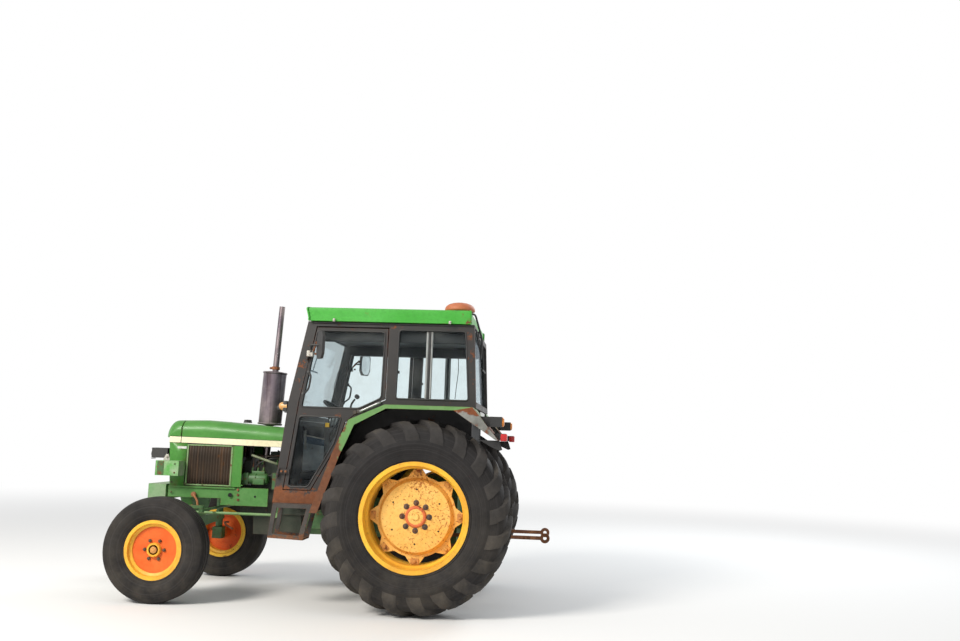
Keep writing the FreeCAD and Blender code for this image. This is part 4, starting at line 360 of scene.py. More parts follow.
# %% colours: wheels
rubber("tyre", (0.011, 0.010, 0.010), 0.18, (-0.694, 0.720))
rubber("front_tyre", (0.011, 0.010, 0.010), 0.18, (1.297, 0.395))
rubber("lug", (0.022, 0.020, 0.019), 0.34)
surface("rim", (0.84, 0.50, 0.04), (0.76, 0.34, 0.03), rust=0.18, edges=0.6, dust=0.10, rough=0.42,
        shine=0.3)
surface("disc", (0.84, 0.43, 0.08), (0.88, 0.54, 0.15), rust=0.44, edges=0.5, dust=0.08, rough=0.5,
        rust_colour=(0.60, 0.20, 0.045), shine=0.3, speck=60.0)
surface("front_disc", (0.70, 0.095, 0.010), (0.74, 0.15, 0.02), rust=0.22, edges=0.5, dust=0.08,
        rough=0.5, shine=0.3)
surface("cleat", (0.72, 0.36, 0.06), (0.50, 0.20, 0.05), rust=0.5, edges=0.4, dust=0.15, rough=0.6,
        rust_colour=(0.34, 0.11, 0.03), speck=30.0)
surface("hub_orange", (0.72, 0.16, 0.03), (0.60, 0.12, 0.03), rust=0.4, edges=0.6, dust=0.2, rough=0.55)
print(len(MATERIALS), "materials so far")

# %% [markdown]
# ## Colours: sheet metal
# Five greens: the sun has bleached the frames and the fenders, and the roof is repainted. The
# stripe is bare, with no letters on it.

# %% colours: sheet metal
surface("green", (0.042, 0.195, 0.022), (0.062, 0.235, 0.034), rust=0.06, edges=0.5, dust=0.22,
        rough=0.42, coat=0.05, shine=0.35)
# The hood's rear end, next to the cab, is painted near black as shade.
surface("hood_green_shaded", (0.042, 0.195, 0.022), (0.062, 0.235, 0.034), rust=0.06, edges=0.5, dust=0.22,
        rough=0.42, coat=0.05, shine=0.35, painted_shade_at=("X", 0.54, 0.50, (0.006, 0.030, 0.012)))
surface("roof", (0.040, 0.31, 0.026), (0.060, 0.36, 0.045), rust=0.03, edges=0.25, dust=0.15, rough=0.42,
        coat=0.05, shine=0.35)
# The fender's faces that look down are painted near black as shade.
surface("fender", (0.10, 0.235, 0.060), (0.16, 0.27, 0.11), rust=0.12, edges=0.7, dust=0.15, rough=0.5,
        shade_under=(0.010, 0.009, 0.009), rust_colour=(0.19, 0.066, 0.025), speck=14.0,
        rusty_at=(("X", -0.18, -0.06), ("X", -1.06, -1.24)))
surface("mid_green", (0.046, 0.185, 0.030), (0.085, 0.25, 0.060), rust=0.16, edges=0.75, dust=0.3,
        rough=0.5, shine=0.35)
surface("pale_green", (0.13, 0.27, 0.085), (0.20, 0.30, 0.14), rust=0.30, edges=0.7, dust=0.25,
        rough=0.55)
surface("lamp_box", (0.085, 0.34, 0.055), (0.36, 0.42, 0.30), rust=0.0, edges=0.4, dust=0.15, rough=0.45,
        patch=7.0)
surface("gusset", (0.22, 0.22, 0.20), (0.085, 0.088, 0.075), rust=0.25, edges=0.5, dust=0.2, rough=0.55,
        patch=9.0, rust_colour=(0.24, 0.07, 0.022), rusty_at=(("Z", 1.45, 1.53),))
surface("cap", (0.50, 0.15, 0.06), (0.36, 0.095, 0.040), rust=0.2, edges=0.3, dust=0.25, rough=0.6,
        rust_colour=(0.20, 0.07, 0.03))
surface("stripe", (0.80, 0.76, 0.52), (0.72, 0.66, 0.42), rust=0.12, edges=0.0, dust=0.2, rough=0.4)
surface("blank", (0.62, 0.62, 0.58), (0.50, 0.50, 0.46), rust=0.12, edges=0.3, dust=0.3, rough=0.45)
surface("panel_grey", (0.40, 0.44, 0.46), (0.26, 0.28, 0.29), rust=0.1, edges=0.3, dust=0.3, rough=0.55,
        patch=12.0, speck=30.0)
smooth_stuff("panel_blue", (0.060, 0.10, 0.15), (0.035, 0.060, 0.090), dust=0.2, rough=0.5)
print(len(MATERIALS), "materials so far")

# %% [markdown]
# ## Colours: frame, engine and steel
# Cab and steps are near black and rust at the foot, so they get rusty_at. The muffler is bare
# metal with long dark runs.

# %% colours: frame, engine and steel
surface("brown", (0.012, 0.0105, 0.010), (0.020, 0.0165, 0.0145), rust=0.16, edges=0.7, dust=0.09,
        rough=0.5, rust_colour=(0.24, 0.078, 0.026), speck=15.0, rusty_at=(("Z", 0.95, 0.79),))
surface("step", (0.022, 0.020, 0.019), (0.040, 0.033, 0.028), rust=0.2, edges=0.8, dust=0.25, rough=0.6,
        speck=16.0, rusty_at=(("Z", 0.57, 0.47),))
surface("screen", (0.050, 0.028, 0.013), (0.026, 0.016, 0.009), rust=0.10, edges=0.0, dust=0.12,
        rough=0.7, grain=0.5, streak=0.6, rust_colour=(0.12, 0.055, 0.020))
# Old green paint, darkened further as painted shade, since most of its parts lie under the tractor.
surface("old_green_shaded", (0.026, 0.095, 0.022), (0.055, 0.155, 0.040), rust=0.40, edges=0.8, dust=0.4,
        rough=0.55)
# The engine block is painted near black as shade under the hood, so the parts in front of it stand out.
surface("engine_painted_shade", (0.020, 0.032, 0.018), (0.010, 0.013, 0.010), rust=0.2, edges=0.5, dust=0.35,
        rough=0.6)
surface("pump_green", (0.045, 0.15, 0.034), (0.016, 0.040, 0.014), rust=0.25, edges=0.6, dust=0.3,
        rough=0.45)
surface("ballast", (0.12, 0.32, 0.10), (0.24, 0.36, 0.20), rust=0.22, edges=0.7, dust=0.45, rough=0.5)
surface("rust", (0.20, 0.070, 0.028), (0.34, 0.13, 0.04), rust=0.6, edges=0.0, dust=0.4, rough=0.8,
        grain=0.8, patch=8.0)
surface("muffler", (0.30, 0.25, 0.25), (0.13, 0.105, 0.135), rust=0.06, edges=0.4, dust=0.05, rough=0.34,
        metal=0.9, streak=0.95, rust_colour=(0.055, 0.034, 0.036))
surface("dark_steel", (0.045, 0.042, 0.038), (0.080, 0.065, 0.050), rust=0.45, edges=0.7, dust=0.5,
        rough=0.55, metal=0.3)
surface("steel", (0.42, 0.40, 0.37), (0.30, 0.27, 0.24), rust=0.35, edges=0.4, dust=0.3, rough=0.35,
        metal=0.8)
surface("stud", (0.060, 0.048, 0.040), (0.12, 0.070, 0.045), rust=0.5, edges=0.4, dust=0.25, rough=0.5,
        metal=0.5)
surface("pale", (0.52, 0.50, 0.45), (0.36, 0.33, 0.28), rust=0.35, edges=0.6, dust=0.3, rough=0.6)
surface("pale_metal", (0.44, 0.45, 0.44), (0.34, 0.34, 0.32), rust=0.10, edges=0.3, dust=0.25, rough=0.4,
        metal=0.5)
surface("cream_pipe", (0.22, 0.25, 0.15), (0.12, 0.14, 0.08), rust=0.1, edges=0.2, dust=0.4, rough=0.55)
print(len(MATERIALS), "materials so far")

# %% [markdown]
# ## Colours: plastic, lamps and glass
# No rust here: these wear only the dust. Glass lets light through, mirrors a little and holds a
# film of dirt.

# %% colours: plastic, lamps and glass
smooth_stuff("black", (0.018, 0.018, 0.018), (0.030, 0.029, 0.028), dust=0.35, rough=0.55, grain=0.2)
smooth_stuff("vinyl", (0.022, 0.020, 0.019), (0.034, 0.030, 0.028), dust=0.25, rough=0.5, grain=0.25)
# painted_shade is a near-black stand-in for shade: in the wheel houses, on the rear wall's inside and in
# holes.
smooth_stuff("painted_shade", (0.006, 0.006, 0.006), dust=0.0, rough=0.9)
smooth_stuff("grey_hose", (0.16, 0.17, 0.18), (0.10, 0.11, 0.11), dust=0.4, rough=0.6)
smooth_stuff("amber", (0.80, 0.25, 0.02), dust=0.15, rough=0.2)
smooth_stuff("red", (0.55, 0.02, 0.02), dust=0.15, rough=0.2)
smooth_stuff("marker", (0.66, 0.40, 0.14), (0.50, 0.22, 0.06), dust=0.3, rough=0.35)
smooth_stuff("mirror_glass", (0.75, 0.78, 0.80), dust=0.1, rough=0.05, metal=1.0, grain=0.0)
glass("glass", (0.93, 0.965, 0.97), 0.03)
glass("bowl", (0.80, 0.66, 0.36), 0.06)
glass("lens", (0.90, 0.93, 0.95), 0.04)
print(len(MATERIALS), "materials so far")

# %% [markdown]
# ## Materials on the frame's nodes
# Each solid takes one material. It could be set object by object, but a table can be read at a
# glance: the material, then the nodes that wear it. The last line shows that none was forgotten.

# %% dress the nodes
WEARS = {
    "tyre": ("rear_tyre_left", "rear_tyre_right"),
    "front_tyre": ("front_tyre_left", "front_tyre_right"),
    "rim": ("rear_rim_left", "rear_rim_right", "front_rim_left", "front_rim_right"),
    "disc": ("rear_disc_left", "rear_disc_right"),
    "front_disc": ("front_disc_left", "front_disc_right"),
    "green": ("nose",),
    "hood_green_shaded": ("hood",),
    "lamp_box": ("headlamps",),
    "mid_green": ("front_support", "side_plates"),
    "pale_green": ("drag_link",),
    "fender": ("fender_left", "fender_right"),
    "engine_painted_shade": ("engine",),
    "step": ("steps",),
    "old_green_shaded": ("gearbox", "rear_axle", "front_axle", "knuckle_left", "knuckle_right", "tie_rod",
                  "drop_arm", "steering_gear", "lift_arms"),
    "ballast": ("front_ballast",),
    "roof": ("roof",),
    "brown": ("cab_frame", "door_left", "door_right", "cab_floor", "cab_walls"),
    "rust": ("roof_cap", "lower_links", "lift_rods", "drawbar"),
    "muffler": ("exhaust",),
    "dark_steel": ("fan", "radiator", "pto_shaft", "levers"),
    "black": ("grille", "work_lamps", "signal_lamps", "console", "steering_wheel"),
    "screen": ("side_screens",),
    "vinyl": ("seat_cushion", "seat_back"),
    "glass": ("door_glass_left", "door_glass_right", "windscreen", "rear_window", "side_windows"),
}
for wear, names in WEARS.items():
    for name in names:
        NODES[name].data.materials.clear()
        NODES[name].data.materials.append(MATERIALS[wear])
bare = [name for name in NODES if not any(name in names for names in WEARS.values())]
print("nodes without a material:", bare)

# %% [markdown]
# ## The bench
# Every fine piece is a small mesh made here and tied to the body it moves with. All parts of a
# piece are laid on one bench, a single bmesh, and `piece` takes them off together. Places are
# millimetres from the rear axle, and `SIDES` walks the left and the right.


# %% the bench
SIDES = (("left", 1), ("right", -1))
bench = bmesh.new()
MADE = []


def piece(name, wear, body="chassis", smooth=0.0):
    """Take what lies on the bench as a named piece, in its material, on its body."""
    data = bpy.data.meshes.new(name)
    bench.normal_update()
    bench.to_mesh(data)
    bench.clear()
    made = bpy.data.objects.new(name, data)
    bpy.context.scene.collection.objects.link(made)
    data.materials.append(MATERIALS[wear])
    if smooth:
        data.shade_smooth()
        data.set_sharp_from_angle(angle=math.radians(smooth))
    MADE.append(name)
    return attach(made, body)


def tell():
    """Print the pieces made since the last telling."""
    print(len(MADE), "pieces:", ", ".join(MADE))
    MADE.clear()


def outward():
    """Turn the faces on the bench outward."""
    bmesh.ops.recalc_face_normals(bench, faces=bench.faces)


def ease_edges(verts, ease):
    """Bevel every edge at these points."""
    if ease:
        edges = list({edge for vert in verts for edge in vert.link_edges})
        bmesh.ops.bevel(bench, geom=edges, offset=ease / 1000, segments=2, profile=0.6, affect="EDGES")


print("bench ready")

# %% [markdown]
# ## Blocks, plates and turned parts
# A maker would saw a block, cut a plate or turn a bar on a lathe. The helpers do the same: two
# corners make a block, an outline in the side view makes a plate, and a list of distances and
# radii makes a turned part. Python lists fit this better than Blender's own primitives, because
# the numbers can be taken straight from the part's source.


# %% block, plate, turned part and bolt
def block(low, high, ease=0.0, about=None, turn=None):
    """A block between two corners, its edges eased, turned about a place if asked."""
    low, high = at(*low), at(*high)
    size = high - low
    made = bmesh.ops.create_cube(bench, size=1.0)["verts"]
    for vert in made:
        vert.co = Vector(vert.co[axis] * abs(size[axis]) for axis in range(3)) + (low + high) / 2
    if turn is not None:
        bmesh.ops.rotate(bench, verts=made, cent=at(*about), matrix=turn)
    ease_edges(made, ease)


def plate(outline, y, thickness, ease=0.0):
    """A plate in the side view: outline (x, z), one face at y, the other thickness further in."""
    front = [bench.verts.new(at(x, y, z)) for x, z in outline]
    back = [bench.verts.new(at(x, y - thickness, z)) for x, z in outline]
    bench.faces.new(front)
    bench.faces.new(back[::-1])
    for index in range(len(outline)):
        after = (index + 1) % len(outline)
        bench.faces.new((front[index], back[index], back[after], front[after]))
    ease_edges(front + back, ease)


def circle(middle, across, over, radius, count):
    """New points on a circle round a middle, between two directions."""
    turns = [2 * math.pi * index / count for index in range(count)]
    return [bench.verts.new(middle + (across * math.cos(a) + over * math.sin(a)) * radius / 1000)
            for a in turns]


def turned(place, way, section, segments=40):
    """A piece turned about a line: section is a list of (along, radius) in millimetres."""
    start = at(*place)
    way = Vector(way).normalized()
    across = way.orthogonal().normalized()
    over = way.cross(across)
    rings = []
    for along, radius in section:
        middle = start + way * along / 1000
        rings.append(circle(middle, across, over, radius,
                            segments) if radius else [bench.verts.new(middle)])
    for here, there in zip(rings, rings[1:]):
        for index in range(segments):
            corners = [here[index % len(here)], here[(index + 1) % len(here)],
                       there[(index + 1) % len(there)], there[index % len(there)]]
            corners = list(dict.fromkeys(corners))
            if len(corners) > 2:
                bench.faces.new(corners)


def bolt(place, way, across=9.0, height=8.0):
    """A hexagon head on its washer, standing on place and pointing along way."""
    turned(place, way, [(0, 0), (0, across * 1.25), (2, across * 1.25), (2, 0)], 20)
    turned(place, way, [(1, 0), (1, across), (height - 1.5, across), (height, across * 0.82),
                        (height, 0)], 6)


# %% [markdown]
# ## Tubes
# Pipes, hoses, seals and handles are round bars that follow a line. A curve with a bevel depth
# would do it too; here the rings are set by hand, so that the result is a plain mesh and closed
# loops such as window seals meet without a step. Each ring takes its turn from the one before,
# which keeps the tube from twisting.


# %% tube
def eased_line(spots, reach, closed):
    """The same line with every corner rounded by a short curve."""
    out = []
    count = len(spots)
    for index, spot in enumerate(spots):
        if not closed and index in (0, count - 1):
            out.append(spot)
            continue
        before, after = spots[index - 1], spots[(index + 1) % count]
        first = spot + (before - spot).normalized() * min(reach, (before - spot).length * 0.45)
        last = spot + (after - spot).normalized() * min(reach, (after - spot).length * 0.45)
        for step in range(7):
            t = step / 6
            out.append(first * (1 - t) ** 2 + spot * 2 * t * (1 - t) + last * t ** 2)
    return out


def tube(points, radius, sides=10, bend=0.0, closed=False):
    """A round tube through places, its corners eased by bend millimetres."""
    spots = [at(*point) for point in points]
    if bend:
        spots = eased_line(spots, bend / 1000, closed)
    count = len(spots)
    rings = []
    over = None
    for index, spot in enumerate(spots):
        before = spots[index - 1] if index or closed else spot
        after = spots[(index + 1) % count] if index < count - 1 or closed else spot
        way = (after - before).normalized()
        over = way.orthogonal() if over is None else over - way * over.dot(way)
        over.normalize()
        rings.append(circle(spot, over, way.cross(over), radius, sides))
    join(rings + rings[:1] if closed else rings)
    if not closed:
        bench.faces.new(rings[0][::-1])
        bench.faces.new(rings[-1])


def join(rings, wrap=True):
    """Quads between rings, or rows, of points."""
    for here, there in zip(rings, rings[1:]):
        for index in range(len(here) - (0 if wrap else 1)):
            after = (index + 1) % len(here)
            bench.faces.new((here[index], here[after], there[after], there[index]))


def rows_to_faces(rows):
    """A sheet of quads between rows of places in millimetres."""
    join([[bench.verts.new(at(*spot)) for spot in row] for row in rows], wrap=False)


# %% [markdown]
# ## A second paint on some faces
# The mirror heads are black on the real machine. The insides of the wheel houses and of the rear
# wall are painted near black as shade. A second material slot, given to the faces whose middle
# passes a test, is enough for that and leaves the solid's form as it is.


# %% repaint
def repaint(node_name, wear, test):
    """A second material on the faces of a CAD node whose middle passes the test, in mm."""
    data = NODES[node_name].data
    data.materials.append(MATERIALS[wear])
    slot = len(data.materials) - 1
    count = 0
    for face in data.polygons:
        x, y, z = face.center * 1000
        if test(x - AXLE_X, y, z, face.normal):
            face.material_index = slot
            count += 1
    print(node_name, "has", count, "faces in", wear)


# The wheel houses' inner faces and the rear wall's inside are painted near black as shade; the mirror
# heads are black.
for label, _ in SIDES:
    repaint("fender_" + label, "painted_shade", lambda x, y, z, normal: abs(y) < 895 and abs(normal.y) > 0.9)
    repaint("door_" + label, "black", lambda x, y, z, normal: abs(y) > 775 and z > 1850)
repaint("cab_walls", "painted_shade", lambda x, y, z, normal: abs(normal.x) > 0.7 and x < -300)

# %% [markdown]
# ## The tyres' skins
# The solids' tyres have flat sides. These skins stand in for them with the same section, a
# rounder tread and the moulded beads of the sidewall. A tyre is a turned part, so one list of
# distances and radii says it all; a subdivided torus would never give these thin raised rings.


# %% tyre skins
REAR_R, REAR_Y = 720, 750
FRONT_R, FRONT_Y = 395, 740
WHEELBASE = 1991
TYRES = {
    # radius, width, bead radius, axle x, middle y
    "rear": (REAR_R, 430, 406.5, 0, REAR_Y),
    "front": (FRONT_R, 205, 223, WHEELBASE, FRONT_Y),
}


def rear_wall(half, bead):
    """Half the rear tyre's section, from inside the bead to the tread's middle."""
    lip = 189
    near = [(lip - 8, -22), (lip, -14), (lip + 2, 6), (lip + 9, 12), (lip + 10, 16), (lip + 6, 19)]
    flank = [(half * 0.955, 54), (half * 0.985, 84), (half - 1.5, 118), (half, 122), (half, 127),
             (half - 1, 131)]
    flank += [(half * 0.995, 152), (half * 0.985, 156), (half * 0.96, 190), (half * 0.925, 222)]
    tread = [(half * 0.86, 246), (half * 0.70, 262), (half * 0.52, 272), (half * 0.26, 277), (0, 278)]
    return [(across, bead + up) for across, up in near + flank + tread]


def front_wall(half, bead):
    """Half the front tyre's section, with two grooves in the tread."""
    lip = 73
    near = [(lip - 6, -16), (lip, -9), (lip + 2, 3), (lip + 6, 6), (lip + 7, 9), (lip + 4, 11)]
    flank = [(half * 0.95, 40), (half, 72), (half * 1.004, 78), (half * 0.996, 84), (half * 0.985, 110)]
    flank += [(half * 0.93, 138), (half * 0.86, 155), (half * 0.78, 163)]
    tread = [(half * 0.66, -4), (half * 0.60, -2), (half * 0.40, 0), (half * 0.335, 0)]
    tread += [(half * 0.29, -13), (half * 0.21, -13), (half * 0.165, 0), (0, 0)]
    return [(across, bead + up) for across, up in near + flank] + [(across, FRONT_R + up) for across,
                                                                   up in tread]


def tyre_skin(name, wall, wear, label, side, segments):
    """Turn the whole section about the axle and put the skin in the solid's place."""
    radius, width, bead, x, y = TYRES[name]
    half_section = wall(width / 2, bead)
    section = half_section + [(-across, up) for across, up in reversed(half_section[:-1])]
    turned((x, y * side, radius), (0, 1, 0), section, segments)
    outward()
    skin = piece("%s_tyre_skin_%s" % (name, label), wear, "%s_wheel_%s" % (name, label), 35)
    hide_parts("%s_tyre_%s" % (name, label))


for label, side in SIDES:
    tyre_skin("rear", rear_wall, "tyre", label, side, 160)
    tyre_skin("front", front_wall, "front_tyre", label, side, 120)
tell()

# %% [markdown]
# ## The rear tyres' lugs
# Forty bars a tyre, twenty from each side, meet in an arrow at the tread's middle and bite into
# soil. An array modifier on a circle would repeat one bar, but here each bar is made at its own
# angle: seven cross sections from the middle, over the tread, down to the shoulder.

# %% lugs
LUG_COUNT = 20
# share of the half width, sweep back, half width of the bar, top radius, foot radius
LUG_ROWS = ((-0.05, 0, 27, 719, 676), (0.25, -40, 32, 717, 676), (0.50, -80, 38, 712, 670),
            (0.72, -118, 42, 700, 655), (0.90, -148, 46, 668, 610), (0.985, -163, 47, 610, 560),
            (0.99, -165, 44, 585, 555))


def lug(middle, which, turn):
    """One lug of the rear tyre: a bar that sweeps back from the tread's middle to the shoulder."""
    radius, width, _, x, _ = TYRES["rear"]
    rings = []
    for share, back, half, top, foot in LUG_ROWS:
        y = middle + which * share * width / 2
        ring = []
        for along, up in ((back - half - 7, foot), (back - half, top - 7), (back - half + 7, top),
                          (back + half - 7, top), (back + half, top - 7), (back + half + 7, foot)):
            angle = turn + along / top
            ring.append(bench.verts.new(at(x + math.sin(angle) * up, y, radius + math.cos(angle) * up)))
        rings.append(ring)
    join(rings, wrap=False)
    bench.faces.new(rings[0])
    bench.faces.new(rings[-1][::-1])


for label, side in SIDES:
    pitch = 2 * math.pi / LUG_COUNT
    for index in range(LUG_COUNT):
        lug(REAR_Y * side, 1, pitch * index)
        lug(REAR_Y * side, -1, pitch * (index + 0.5))
    outward()
    piece("rear_lugs_" + label, "lug", "rear_wheel_" + label, 35)
tell()

# %% [markdown]
# ## Rear wheel centres
# Each lobe of a rear disc sits on a square cleat with a bolt. The hub's middle is a chipped
# orange ring round the axle end, every stud ends in its nut, and six small holes lie further
# out. The holes aren't cut: a near-black spot of painted shade, laid on the dish, stands for the
# dark seen through each hole from any distance, and a ray shot at the dish finds its place.


# %% rear wheel centres
def on_circle(count, radius, x, z, first=0):
    """Places (x, z) round a middle, the first one at so many degrees from the top."""
    angles = [math.radians(360 / count * index + first) for index in range(count)]
    return [(x + math.sin(a) * radius, z + math.cos(a) * radius) for a in angles]


LOBES = 8
NUT = [(0, 22), (2, 22), (3, 20), (3, 8), (26, 8), (27.5, 6), (27.5, 0)]
for label, side in SIDES:
    body = "rear_wheel_" + label
    face = (REAR_Y + 70) * side
    out = (0, side, 0)
    for index in range(LOBES):
        before = len(bench.verts)
        block((-30, face - 52 * side, REAR_R + 306), (30, face - 30 * side, REAR_R + 346), 3)
        bolt((0, face - 30 * side, REAR_R + 326), out, 12, 12)
        bench.verts.ensure_lookup_table()
        bmesh.ops.rotate(bench, verts=bench.verts[before:], cent=at(0, 0, REAR_R),
                         matrix=Matrix.Rotation(math.radians(360 / LOBES * index), 4, "Y"))
    piece("rear_cleats_" + label, "cleat", body)
    turned((0, face, REAR_R), out, [(0, 80), (6, 80), (11, 76), (14, 68), (14, 60), (12.5, 57)], 64)
    piece("rear_hub_ring_" + label, "hub_orange", body, 40)
    turned((0, face + 11.5 * side, REAR_R), out, [(0, 58), (2, 57), (3, 48), (3, 30), (9, 27), (12, 24),
                                                  (12, 8), (10, 0)], 48)
    piece("rear_hub_middle_" + label, "disc", body, 40)
    for x, z in on_circle(LOBES, 101.6, 0, REAR_R):
        turned((x, face, z), out, NUT, 18)
    piece("rear_studs_" + label, "stud", body, 40)
    dish = BVHTree.FromObject(NODES["rear_disc_" + label], bpy.context.evaluated_depsgraph_get())
    # Each hole is a near-black spot of painted shade on the dish.
    for x, z in on_circle(6, 200, 0, REAR_R):
        hit = dish.ray_cast(at(x, 1200 * side, z), Vector((0, -side, 0)))[0] * 1000
        turned((hit.x - AXLE_X, hit.y, hit.z), out, [(-3, 7), (0.6, 7), (0.6, 0)], 16)
    piece("rear_disc_holes_" + label, "painted_shade", body)
    tube([(-38, 900 * side, 1065), (-40, 925 * side, 1050), (-40, 940 * side, 1038)], 4, 10)
    piece("valve_" + label, "stud", body, 40)
tell()

# %% [markdown]
# ## Front wheel centres
# Six studs with nuts, a yellow dust cap with an orange nub, and a pressed ring in the disc. All of
# it is turned, so each part is one short section.

# %% front wheel centres
for label, side in SIDES:
    body = "front_wheel_" + label
    face = (FRONT_Y + 31) * side
    cap_at = (WHEELBASE, face + 24 * side, FRONT_R)
    out = (0, side, 0)
    for x, z in on_circle(6, 76, WHEELBASE, FRONT_R, 30):
        turned((x, face, z), out, [(0, 17), (2, 17), (2, 6), (19, 6), (20, 4.5), (20, 0)], 16)
        turned((x, face, z), out, [(2, 13.5), (13, 13.5), (15, 11.5), (15, 0)], 6)
    turned(cap_at, out, [(-4, 37), (1, 37), (1, 0)], 36)
    piece("front_studs_" + label, "stud", body, 40)
    turned(cap_at, out, [(-20, 53), (2, 53), (7, 49), (7, 39), (3, 36), (0, 36)], 48)
    piece("front_cap_" + label, "rim", body, 40)
    turned(cap_at, out, [(0, 26), (5, 26), (8, 22), (9, 0)], 24)
    piece("front_nub_" + label, "cleat", body, 40)
    turned((WHEELBASE, face, FRONT_R), out, [(-8, 114), (2, 110), (3, 106), (2, 102), (-8, 98)], 64)
    piece("front_ring_" + label, "front_disc", body, 60)
tell()

# %% [markdown]
# ## Stripe and nose plate
# A cream band runs level along hood and nose, its seam open where the two meet. It could be
# painted on with an image, but there is none, so it is a thin plate that stands a millimetre
# off the sheet, with a dark line at each edge. The stripe and the small plate on the nose are
# bare.

# %% stripe and plate
HOOD_Y = 292
for label, side in SIDES:
    y = HOOD_Y * side
    plate([(1070, 1189), (2043, 1202), (2043, 1249), (1070, 1239)], y + 1.6 * side, 1.4 * side)
    plate([(2049, 1202), (2144, 1203), (2144, 1250), (2049, 1249)], y + 1.6 * side, 1.4 * side)
    piece("stripe_" + label, "stripe")
    for low_rear, low_front in ((1187, 1200.5), (1238.5, 1250.5)):
        plate([(1070, low_rear), (2144, low_front), (2144, low_front + 2.4), (1070, low_rear + 2.4)], y
              + 1.9 * side, 1.6 * side)
    piece("stripe_edges_" + label, "black")
    plate([(1994, 1152), (2070, 1152), (2070, 1172), (1994, 1172)], y + 3.0 * side, 2.6 * side, 0.8)
    piece("nose_plate_" + label, "blank")

tell()

# %% [markdown]
# ## Headlamps
# Each side headlamp is a box with a black rim and a glass with upright flutes that spread the
# light. The flutes could be a bump in the material; as real waves of a sheet they catch the
# light at the edge too, as on the photo.


# %% headlamps
def fluted(x, y0, y1, z0, z1, flutes, swell, deep=1.0):
    """A lamp lens that faces forward: a slightly domed sheet with upright flutes."""
    columns, rows = flutes * 4, 8
    grid = []
    for row in range(rows + 1):
        v = row / rows
        line = []
        for column in range(columns + 1):
            u = column / columns
            dome = swell * (1 - (2 * u - 1) ** 4) * (1 - (2 * v - 1) ** 4)
            wave = deep * math.sin(u * flutes * 2 * math.pi) * (1 - (2 * v - 1) ** 8)
            line.append(bench.verts.new(at(x + dome + wave, y0 + (y1 - y0) * u, z0 + (z1 - z0) * v)))
        grid.append(line)
    for low, high in zip(grid, grid[1:]):
        for index in range(columns):
            bench.faces.new((low[index], low[index + 1], high[index + 1], high[index]))


for label, side in SIDES:
    y0, y1 = 294 * side, 420 * side
    for low, high in (((2180, y0, 937), (2192, y1, 948)), ((2180, y0, 1042), (2192, y1, 1053)),
                      ((2180, y0, 937), (2192, y0 + 11 * side, 1053)),
                      ((2180, y1 - 11 * side, 937), (2192, y1, 1053))):
        block(low, high, 2)
    piece("headlamp_rim_" + label, "black")
    fluted(2190, y0 + 9 * side, y1 - 9 * side, 946, 1044, 14, 6)
    piece("headlamp_lens_" + label, "lens", smooth=60)
    block((2120, 420 * side, 940), (2176, 424.5 * side, 1050), 2)
    bolt((2030, 422 * side, 1030), (0, side, 0), 6, 5)
    bolt((2030, 422 * side, 960), (0, side, 0), 6, 5)
    piece("headlamp_cheek_" + label, "old_green_shaded")
tell()

# %% [markdown]
# ## Work lamps
# Round lamps on pale brackets stand above the grille, with a lead that drops behind them. A
# short turned bead is the rim and a shallow cone the glass.

# %% work lamps
for label, side in SIDES:
    y0, y1 = 192 * side, 254 * side
    turned((2303, 223 * side, 1105), (1, 0, 0), [(0, 29), (5, 29), (6, 27), (3, 24)], 32)
    block((2292, y0, 1062), (2306, y1, 1068), 1.5)
    block((2292, y0, 1143), (2306, y1, 1149), 1.5)
    piece("work_lamp_rim_" + label, "black", smooth=40)
    turned((2304, 223 * side, 1105), (1, 0, 0), [(0, 26), (4, 20), (6, 10), (6.5, 0)], 32)
    piece("work_lamp_lens_" + label, "lens", smooth=60)
    plate([(2142, 1040), (2196, 1040), (2196, 1066), (2176, 1104), (2156, 1104), (2142, 1066)],
          262 * side, 4 * side, 1)
    block((2142, 230 * side, 1040), (2196, 262 * side, 1044), 1)
    bolt((2166, 262 * side, 1080), (0, side, 0), 8, 8)
    piece("work_lamp_bracket_" + label, "pale", smooth=40)
    tube([(2176, 216 * side, 1100), (2150, 216 * side, 1096), (2138, 218 * side, 1072),
          (2128, 222 * side, 1030)], 4, 8, 14)
    piece("work_lamp_lead_" + label, "black", smooth=60)
tell()

# %% [markdown]
# ## Turn, tail and marker lamps
# Amber and red lenses are the same turned or eased blocks in a clear colour; only the marker
# lamps on the fenders have a black foot.

# %% small lamps
for label, side in SIDES:
    turned((-620, 795 * side, 1438), (-1, 0, 0), [(0, 35), (8, 35), (13, 32), (17, 22), (18, 0)], 32)
    piece("turn_lens_" + label, "amber", smooth=50)
    block((-662, 753 * side, 1296), (-612, 838 * side, 1350), 9)
    piece("tail_lens_" + label, "red", smooth=40)
    turned((1060, 669 * side, 1512), (1, 0, 0), [(0, 31), (46, 31), (58, 28), (66, 20), (70, 0)], 32)
    piece("marker_lens_" + label, "marker", smooth=50)
    turned((1112, 669 * side, 1497), (1, 0, 0), [(0, 18), (3, 21), (26, 21), (30, 17), (30, 0)], 24)
    block((1048, 640 * side, 1462), (1076, 702 * side, 1474), 3)
    piece("marker_base_" + label, "black", smooth=40)

tell()

# %% [markdown]
# ## The nose's sheet
# The nose, the side screens, the exhaust, the roof and its cap keep the place and form of their
# solids. Here they get the rounded brow, the pressed ribs and the rolled edges of thin sheet.
# The nose is built from cross sections that shrink into the rounded front; sculpting would do
# it as well, but rows of numbers stay in step with the solid. A Solidify modifier gives the
# sheet its thickness.


# %% nose sheet
SEAM_X, NOSE_LOW, BROW_Z = 2049, 852.5, 1246


def thicken(obj, millimetres):
    """Gives a sheet its thickness, inwards."""
    solid = obj.modifiers.new("thickness", "SOLIDIFY")
    solid.thickness = millimetres / 1000
    solid.offset = -1
    return obj


def nose_front(y):
    return 2147 + 84 * (1 - (abs(y) / HOOD_Y) ** 2.6)


